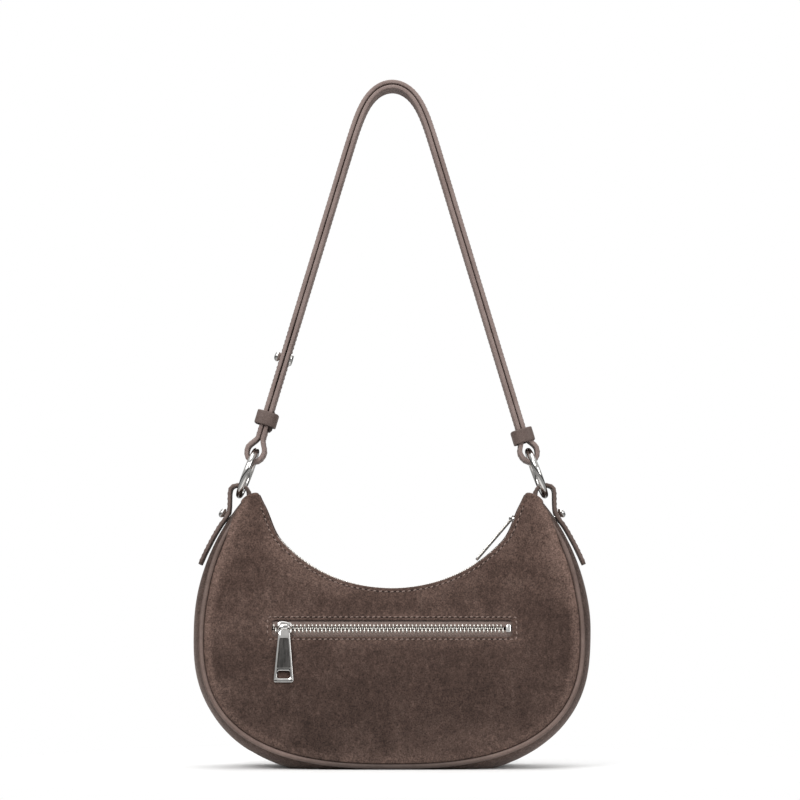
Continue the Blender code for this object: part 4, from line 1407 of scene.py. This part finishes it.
def ring_dip(width):
    """How far a ring curves away over the width of a strip."""
    return ring_radius - math.sqrt(ring_radius ** 2 - (width / 2) ** 2)


def build_ring(side, word):
    centre, up, outward = ring_frame(side)
    shape = Shape()
    sections = []
    for station in range(ring_stations):
        turn = 2 * math.pi * station / ring_stations
        spoke = up * math.cos(turn) + y_axis * math.sin(turn)
        sections.append(circle(centre + spoke * ring_radius, spoke, outward, ring_wire_radius, ring_sides))
    shape.loft(sections, True)
    shape.piece(word + "_ring_wire", [polished], word + "_ring", (word + "_ring",))


def strip_section(point, normal, width, thickness, crown):
    """Rounded outline of a leather strip in the plane of y and its normal."""
    ring = []
    for step in range(strip_sides):
        angle = 2 * math.pi * (step + 0.5) / strip_sides
        u = squared(math.cos(angle), strip_side_power)
        v = squared(math.sin(angle), strip_face_power)
        reach = thickness / 2 + crown * (1 - u * u)
        ring.append(point + y_axis * (width / 2) * u + normal * reach * v)
    return ring


def edge_line(path, normals, row, distance, height):
    """Line beside a strip's edge, at a height above its middle."""
    return [point + y_axis * row * distance + normal * height for point, normal in zip(path, normals)]


def tab_path(side):
    """Middle line of a tab, up over its ring's wire and down along the gusset."""
    centre, up, outward = ring_frame(side)
    wire = centre - up * ring_radius
    arch = ring_dip(tab_width) + ring_wire_radius + tab_arch_clearance + tab_thickness / 2
    points = [wire - outward * arch - z_axis * tab_front_drop]
    for turn in map(math.radians, tab_arch_degrees):
        points.append(wire + (up * math.sin(turn) - outward * math.cos(turn)) * arch)
    for share in tab_tail_shares:
        point, normal = outline_at(side, tab_tail_length * share)
        points.append(point + normal * (tab_thickness / 2 + tab_rest_gap + tab_end_lift * share ** 3))
    line = resample(smooth_curve(points, tab_curve_steps), tab_steps)
    for _ in range(tab_smoothings):
        line = [line[0], *((a + b * 2 + c) / 4 for a, b, c in zip(line, line[1:], line[2:])), line[-1]]
    return line


def end_rounded(width, corner, left_over):
    """Width of a strip at a distance from its end, so that its corners are round."""
    if left_over >= corner:
        return width
    return width - 2 * (corner - math.sqrt(max(corner ** 2 - (corner - left_over) ** 2, 0)))


def build_tab(side, word):
    path = tab_path(side)
    normals = [normal * side for normal in flat_normals(path)]
    shape = Shape()
    sections = []
    for point, normal in zip(path, normals):
        width = end_rounded(tab_width, tab_corner, (path[-1] - point).length)
        soft = tab_swell * waver(point, *tab_swell_form)
        sections.append(strip_section(point + normal * soft, normal, width, tab_thickness, tab_crown))
    shape.loft(sections)
    normals = normals[tab_stitch_start:]
    for row in (-1, 1):
        line = edge_line(path[tab_stitch_start:], normals, row, tab_width / 2 - tab_stitch_inset,
                         tab_thickness / 2 - tab_stitch_seat)
        shape.stitches(line, normals, tab_stitch, 1)
    shape.piece(word + "_tab_strip", [tab_leather, taupe_thread, hole_painted_shade], "bag",
                (word + "_tab",), leather_sharp)


# Studs

stud_radius = 0.0032
stud_height = 0.0040
stud_steps = 20
stud_sides = 48
stud_roundness = 0.85
stud_stem_radius = 0.0013
stud_neck = ((0.0021, -0.0001), (0.0022, 0.0003))
tab_stud_distance = 0.0115
strap_stud_gap = 0.0002
screw_radius = 0.004
screw_sides = 48
screw_top = 0.0020
screw_back = 0.0004
screw_steps = ((0, 0.0011, 0), (0.0003, 0.0005, 0), (0.0009, 0, 0))
screw_slot = (0.0028, 0.0004)
screw_slot_corner = 0.00035
screw_slot_steps = ((-0.0001, -0.0001, 0), (0, 0.0006, 0))


def build_stud(name, body, replaces, base, axis, start, seat):
    """Ball stud on a stem that begins at start, with the ball above its seat."""
    profile = [(0, start), (stud_stem_radius, start), (stud_stem_radius, seat + stud_neck[0][1])]
    profile += [(radius, seat + height) for radius, height in stud_neck]
    for step in range(2, stud_steps + 1):
        turn = math.pi * step / stud_steps
        profile.append((stud_radius * math.sin(turn) ** stud_roundness if step < stud_steps else 0,
                        seat + stud_height / 2 - stud_height / 2 * math.cos(turn)))
    shape = Shape()
    shape.turned(profile, base, axis, stud_sides)
    shape.piece(name, [polished], body, (replaces,), metal_sharp)


def build_studs():
    """Studs of both tabs, and the strap's stud with its slotted screw on the far side."""
    for side, word in ((-1, "left"), (1, "right")):
        point, normal = outline_at(side, tab_stud_distance)
        build_stud(word + "_tab_button", "bag", word + "_tab_stud", point, normal, touch_gap,
                   tab_rest_gap + tab_thickness + touch_gap)
    base, up, outward = strap_frame(-1, strap_stud_distance)
    face = strap_thickness + strap_layer_gap / 2
    build_stud("strap_button", "strap", "strap_stud", base, outward, -face, face + strap_stud_gap)

    def place(a, b, n):
        return base + up * a + y_axis * b - outward * n

    head = circle(Vector((0, 0)), Vector((1, 0)), Vector((0, 1)), screw_radius, screw_sides)
    slot = anticlockwise(rounded_box(*screw_slot, screw_slot_corner, 4))
    top, back = face + screw_top, face + screw_back
    shape = Shape()
    shape.relief(stepped(head, top, back, screw_steps) + stepped(slot, top, back, screw_slot_steps), place)
    shape.piece("strap_screw", [polished], "strap", ("strap_stud_screw",),
                plate_sharp)


# Strap

strap_steps = 420
strap_loop_steps = 5
strap_rows_per_stitch = 4
strap_loop_heights = (0.75, 0.50, 0.25)
strap_loop_widths = (0.22, 0.56, 0.86)
strap_loop_degrees = (0, 25, 50, 72, 90)
strap_stitch = (0.0029, 0.0019, 0.00020, 0.06, 0.0003)
strap_stitch_inset = 0.0021
strap_stitch_seat = 0.00004
strap_swell = 0.00006
strap_swell_form = (0.012, 2.9)
strap_fullness = 0.00035
strap_flat_zone = (0.016, 0.012)
strap_crown = 0.00004
tail_steps = 16
tail_start = 0.0138
tail_length = 0.0132
tail_thickness = 0.0018
tail_depth = 0.00312
tail_narrowing = 0.0006
tail_tip_narrowing = 0.0040
tail_tip_share = 0.25
tail_rise = (0.35, 6)
tail_fall = (0.25, 2.2)


def strap_frame(side, distance):
    """Place on a leg at a distance from its ring's top, the way up the leg and the way outwards."""
    along = distance - strap_neck
    place = Vector((side * (strap_neck_x - along * math.sin(strap_lean)), 0,
                    strap_neck_height + along * math.cos(strap_lean)))
    up = Vector((-side * math.sin(strap_lean), 0, math.cos(strap_lean)))
    outward = Vector((side * math.cos(strap_lean), 0, math.sin(strap_lean)))
    return place, up, outward


def strap_line():
    """Middle of the strap: a round crown whose bend fades out into the two straight legs."""
    turn = math.pi / 2 - strap_lean
    fade = turn * strap_crown_radius / math.gamma(1 + 1 / strap_crown_fade)
    half = [Vector((0, 0, 0))]
    angle = 0
    while half[-1].x < strap_neck_x:
        along = (len(half) - 0.5) * strap_line_step
        angle += math.exp(-(along / fade) ** strap_crown_fade) * strap_line_step / strap_crown_radius
        half.append(half[-1] + Vector((math.cos(angle), 0, -math.sin(angle))) * strap_line_step)
    rise = z_axis * (strap_neck_height - half[-1].z)
    half = [point + rise for point in half]
    return [Vector((-point.x, 0, point.z)) for point in reversed(half[1:])] + half


def strap_loop(side, layer):
    """Loop of the strap round a ring's wire, from its outer layer to its inner one."""
    centre, up, outward = ring_frame(side)
    wire = centre + up * ring_radius
    half = (strap_loop_inner_width + strap_thickness) / 2
    drop = ring_dip(strap_width) + ring_wire_radius + strap_loop_clearance + strap_thickness / 2
    points = []
    for height_share, width_share in zip(strap_loop_heights, strap_loop_widths):
        points.append((strap_neck * height_share, layer + (half - layer) * width_share))
    for turn in map(math.radians, strap_loop_degrees):
        points.append((-drop * math.sin(turn), half * math.cos(turn)))
    whole = points + [(height, -width) for height, width in reversed(points[:-1])]
    return [wire + up * height + outward * width for height, width in whole]


def build_strap():
    """Both layers of the strap and its two end loops, as one closed strip with its stitches."""
    layer = (strap_thickness + strap_layer_gap) / 2
    line = resample(strap_line(), strap_steps)
    normals = flat_normals(line)
    upper = [point + normal * layer for point, normal in zip(line, normals)]
    lower = [point - normal * layer for point, normal in zip(line, normals)]
    right_line = [upper[-1], *strap_loop(1, layer), lower[-1]]
    left_line = [lower[0], *reversed(strap_loop(-1, layer)), upper[0]]
    path = (upper + smooth_curve(right_line, strap_loop_steps)[1:-1]
            + list(reversed(lower)) + smooth_curve(left_line, strap_loop_steps)[1:-1])
    length = sum((b - a).length for a, b in loop_pairs(path))
    path = resample(path + [path[0]], int(length / strap_stitch[0]) * strap_rows_per_stitch)[:-1]
    normals = flat_normals(path, True)
    stud_point = strap_frame(-1, strap_stud_distance)[0]
    shape = Shape()
    sections = []
    for point, normal in zip(path, normals):
        near = fading((point - stud_point).length, *strap_flat_zone)
        thick = strap_thickness + strap_fullness * (1 - near)
        soft = strap_swell * waver(point, *strap_swell_form)
        sections.append(strip_section(point + normal * soft, normal, strap_width, thick, strap_crown))
    shape.loft(sections, True)
    for row in (-1, 1):
        line = edge_line(path, normals, row, strap_width / 2 - strap_stitch_inset,
                         strap_thickness / 2 - strap_stitch_seat)
        shape.stitches(line + line[:1], normals + normals[:1], strap_stitch, 1)
    shape.piece("strap_strip", [strap_skin, strap_thread, hole_painted_shade], "strap",
                ("strap",), leather_sharp)


def build_strap_tail():
    """End of the strap's adjuster, on the inner side of the left leg and held by its keeper; its near-black
    leather is painted shade.
    """
    shape = Shape()
    sections = []
    for step in range(tail_steps + 1):
        share = step / tail_steps
        base, _, outward = strap_frame(-1, tail_start + tail_length * share)
        thick = tail_thickness * min(1, tail_rise[0] + tail_rise[1] * share,
                                     tail_fall[0] + tail_fall[1] * (1 - share))
        width = strap_width - tail_narrowing - tail_tip_narrowing * (1 - ease(share / tail_tip_share))
        sections.append(strip_section(base - outward * (tail_depth + thick / 2), outward, width, thick, 0.0))
    shape.loft(sections)
    shape.piece("strap_tail", [painted_shade_leather], "strap", (), leather_sharp)


# Keepers

keeper_thickness = 0.0016
keeper_half_height = 0.00435
keeper_face_room = 0.0024
keeper_side_room = 0.00035
keeper_corner = 0.0050
keeper_step = 0.0012
keeper_sides = 20
keeper_fit = 0.00003
keeper_wall_power = 0.4
keeper_edge_power = 0.22


def build_keeper(side, word, distance):
    """Leather loop round both layers of a leg."""
    half_a = strap_thickness + strap_layer_gap / 2 + keeper_face_room + keeper_thickness
    half_b = strap_width / 2 + keeper_side_room + keeper_thickness
    middle, up, outward = strap_frame(side, distance)
    loop = dense_loop(rounded_box(half_a, half_b, keeper_corner, 12), keeper_step)
    sections = []
    for point, inward in zip(loop, inward_normals(loop)):
        ring = []
        for step in range(keeper_sides):
            angle = 2 * math.pi * (step + 0.5) / keeper_sides
            deep = keeper_thickness / 2 * (1 - squared(math.cos(angle), keeper_wall_power))
            spot = point + inward * (deep + keeper_fit)
            high = keeper_half_height * squared(math.sin(angle), keeper_edge_power)
            ring.append(middle + outward * spot.x + y_axis * spot.y + up * high)
        sections.append(ring)
    shape = Shape()
    shape.loft(sections, True)
    shape.piece(word + "_keeper_loop", [keeper_leather], word + "_keeper",
                (word + "_keeper",), leather_sharp)


# The whole bag; nodes of the frame that stay in sight get a material

kept_nodes = (("lining", lining_cloth), ("pocket_pouch", lining_cloth), ("base_board", board_sheet))
sides_in_words = ((-1, "left"), (1, "right"))
keeper_distances = (0.0214, 0.0100)


def build_all():
    build_panel(-1, "pocket_panel", True)
    build_panel(1, "plain_panel", False)
    build_gusset()
    build_piping(-1, "piping_pocket_side")
    build_piping(1, "piping_plain_side")
    build_mouth_stitches(-1, "mouth_stitches_pocket_side")
    build_mouth_stitches(1, "mouth_stitches_plain_side")
    build_pocket_stitches()
    build_pocket_zip()
    build_mouth_zip()
    build_pocket_slider()
    build_mouth_slider()
    for build in (build_zip_end, build_ring, build_tab):
        for side, word in sides_in_words:
            build(side, word)
    build_studs()
    build_strap()
    build_strap_tail()
    for (side, word), distance in zip(sides_in_words, keeper_distances):
        build_keeper(side, word, distance)
    for name, material in kept_nodes:
        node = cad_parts[name]
        node.data.materials.clear()
        node.data.materials.append(material)


# Studio; a light has its place, target, size and power

floor_radii = (0.05, 0.3, 0.8, 2, 5, 12)
floor_sides = 96
floor_drop = 0.0001
floor_fade = (0.06, 0.28)
lights = (("key_light", (-0.9, -1.5, 1.5), (0, 0, 0.15), 1.0, 26),
          ("fill_light", (1.4, -1.2, 0.8), (0, 0, 0.15), 0.9, 9),
          ("back_light", (0.3, 1.6, 1.6), (0, 0, 0.2), 1.8, 20),
          ("top_light", (0, -0.1, 2.0), (0, 0, 0.1), 1.5, 13))
room_strength = 0.62
room_greys = ((0.0, 0.55), (0.44, 0.50), (0.48, 0.06), (0.57, 0.10), (0.65, 0.80), (1.0, 1.0))
camera_place = Vector((0.005, -1.6, 0.09))
camera_target = Vector((0.005, 0, 0.231))
camera_sensor = 36
camera_half_view = math.radians(9)
camera_near = 0.05


def build_floor():
    """Pale floor that fades out round the bag."""
    mesh = bpy.data.meshes.new("studio_floor")
    data = bmesh.new()
    rings = [[data.verts.new(point) for point in circle(Vector(), x_axis, y_axis, radius, floor_sides)]
             for radius in floor_radii]
    data.faces.new(rings[0])
    for a, b in zip(rings, rings[1:]):
        for s in range(floor_sides):
            t = (s + 1) % floor_sides
            data.faces.new((a[s], a[t], b[t], b[s]))
    data.to_mesh(mesh)
    data.free()
    n = Surface("floor_paper", 0.9)
    tone = n.mix(n.range(n.noise(3, 2.0), 0.3, 0.7), (0.93, 0.93, 0.93), (0.95, 0.95, 0.945))
    mesh.materials.append(n.finish(Base_Color=tone, Specular_IOR_Level=0.1))
    away = n.node("ShaderNodeVectorMath", {0: n.place()}, operation="LENGTH").outputs["Value"]
    clear = n.node("ShaderNodeBsdfTransparent").outputs[0]
    share = n.range(away, *floor_fade)
    fade = n.node("ShaderNodeMixShader", {"Fac": share, 1: n.shader.outputs[0], 2: clear}).outputs[0]
    n.put(n.tree.nodes["Material Output"].inputs["Surface"], fade)
    floor = add_object("studio_floor", mesh)
    floor.location.z = -floor_drop


def build_lights():
    for name, place, target, size, power in lights:
        light = bpy.data.lights.new(name, "AREA")
        light.shape = "RECTANGLE"
        light.size = size
        light.size_y = size
        light.energy = power
        item = add_object(name, light)
        item.location = place
        item.rotation_euler = (Vector(target) - Vector(place)).to_track_quat("-Z", "Y").to_euler()


def build_room():
    """Bright room with a dark band for the metal to mirror; the camera itself sees plain white."""
    world = bpy.data.worlds.new("studio_world")
    bpy.context.scene.world = world
    n = Nodes(world)
    n.tree.nodes.clear()
    place = n.node("ShaderNodeTexCoord").outputs["Generated"]
    height = n.node("ShaderNodeSeparateXYZ", {0: place}).outputs["Z"]
    grey = n.ramp(n.math("MULTIPLY_ADD", height, 0.5, 0.5), room_greys)
    lit = n.node("ShaderNodeBackground", {"Color": grey, "Strength": room_strength}).outputs[0]
    seen = n.node("ShaderNodeBackground", {"Color": (1, 1, 1), "Strength": 1.0}).outputs[0]
    direct = n.node("ShaderNodeLightPath").outputs["Is Camera Ray"]
    choice = n.node("ShaderNodeMixShader", {"Fac": direct, 1: lit, 2: seen}).outputs[0]
    n.node("ShaderNodeOutputWorld", {"Surface": choice})


def build_camera():
    camera = bpy.data.cameras.new("photo_camera")
    camera.sensor_width = camera_sensor
    camera.sensor_fit = "HORIZONTAL"
    camera.lens = camera_sensor / 2 / math.tan(camera_half_view)
    camera.clip_start = camera_near
    item = add_object("photo_camera", camera)
    item.location = camera_place
    item.rotation_euler = (camera_target - camera_place).to_track_quat("-Z", "Y").to_euler()
    bpy.context.scene.camera = item


build_all()
build_floor()
build_lights()
build_room()
build_camera()
bpy.context.scene.view_settings.view_transform = "Standard"
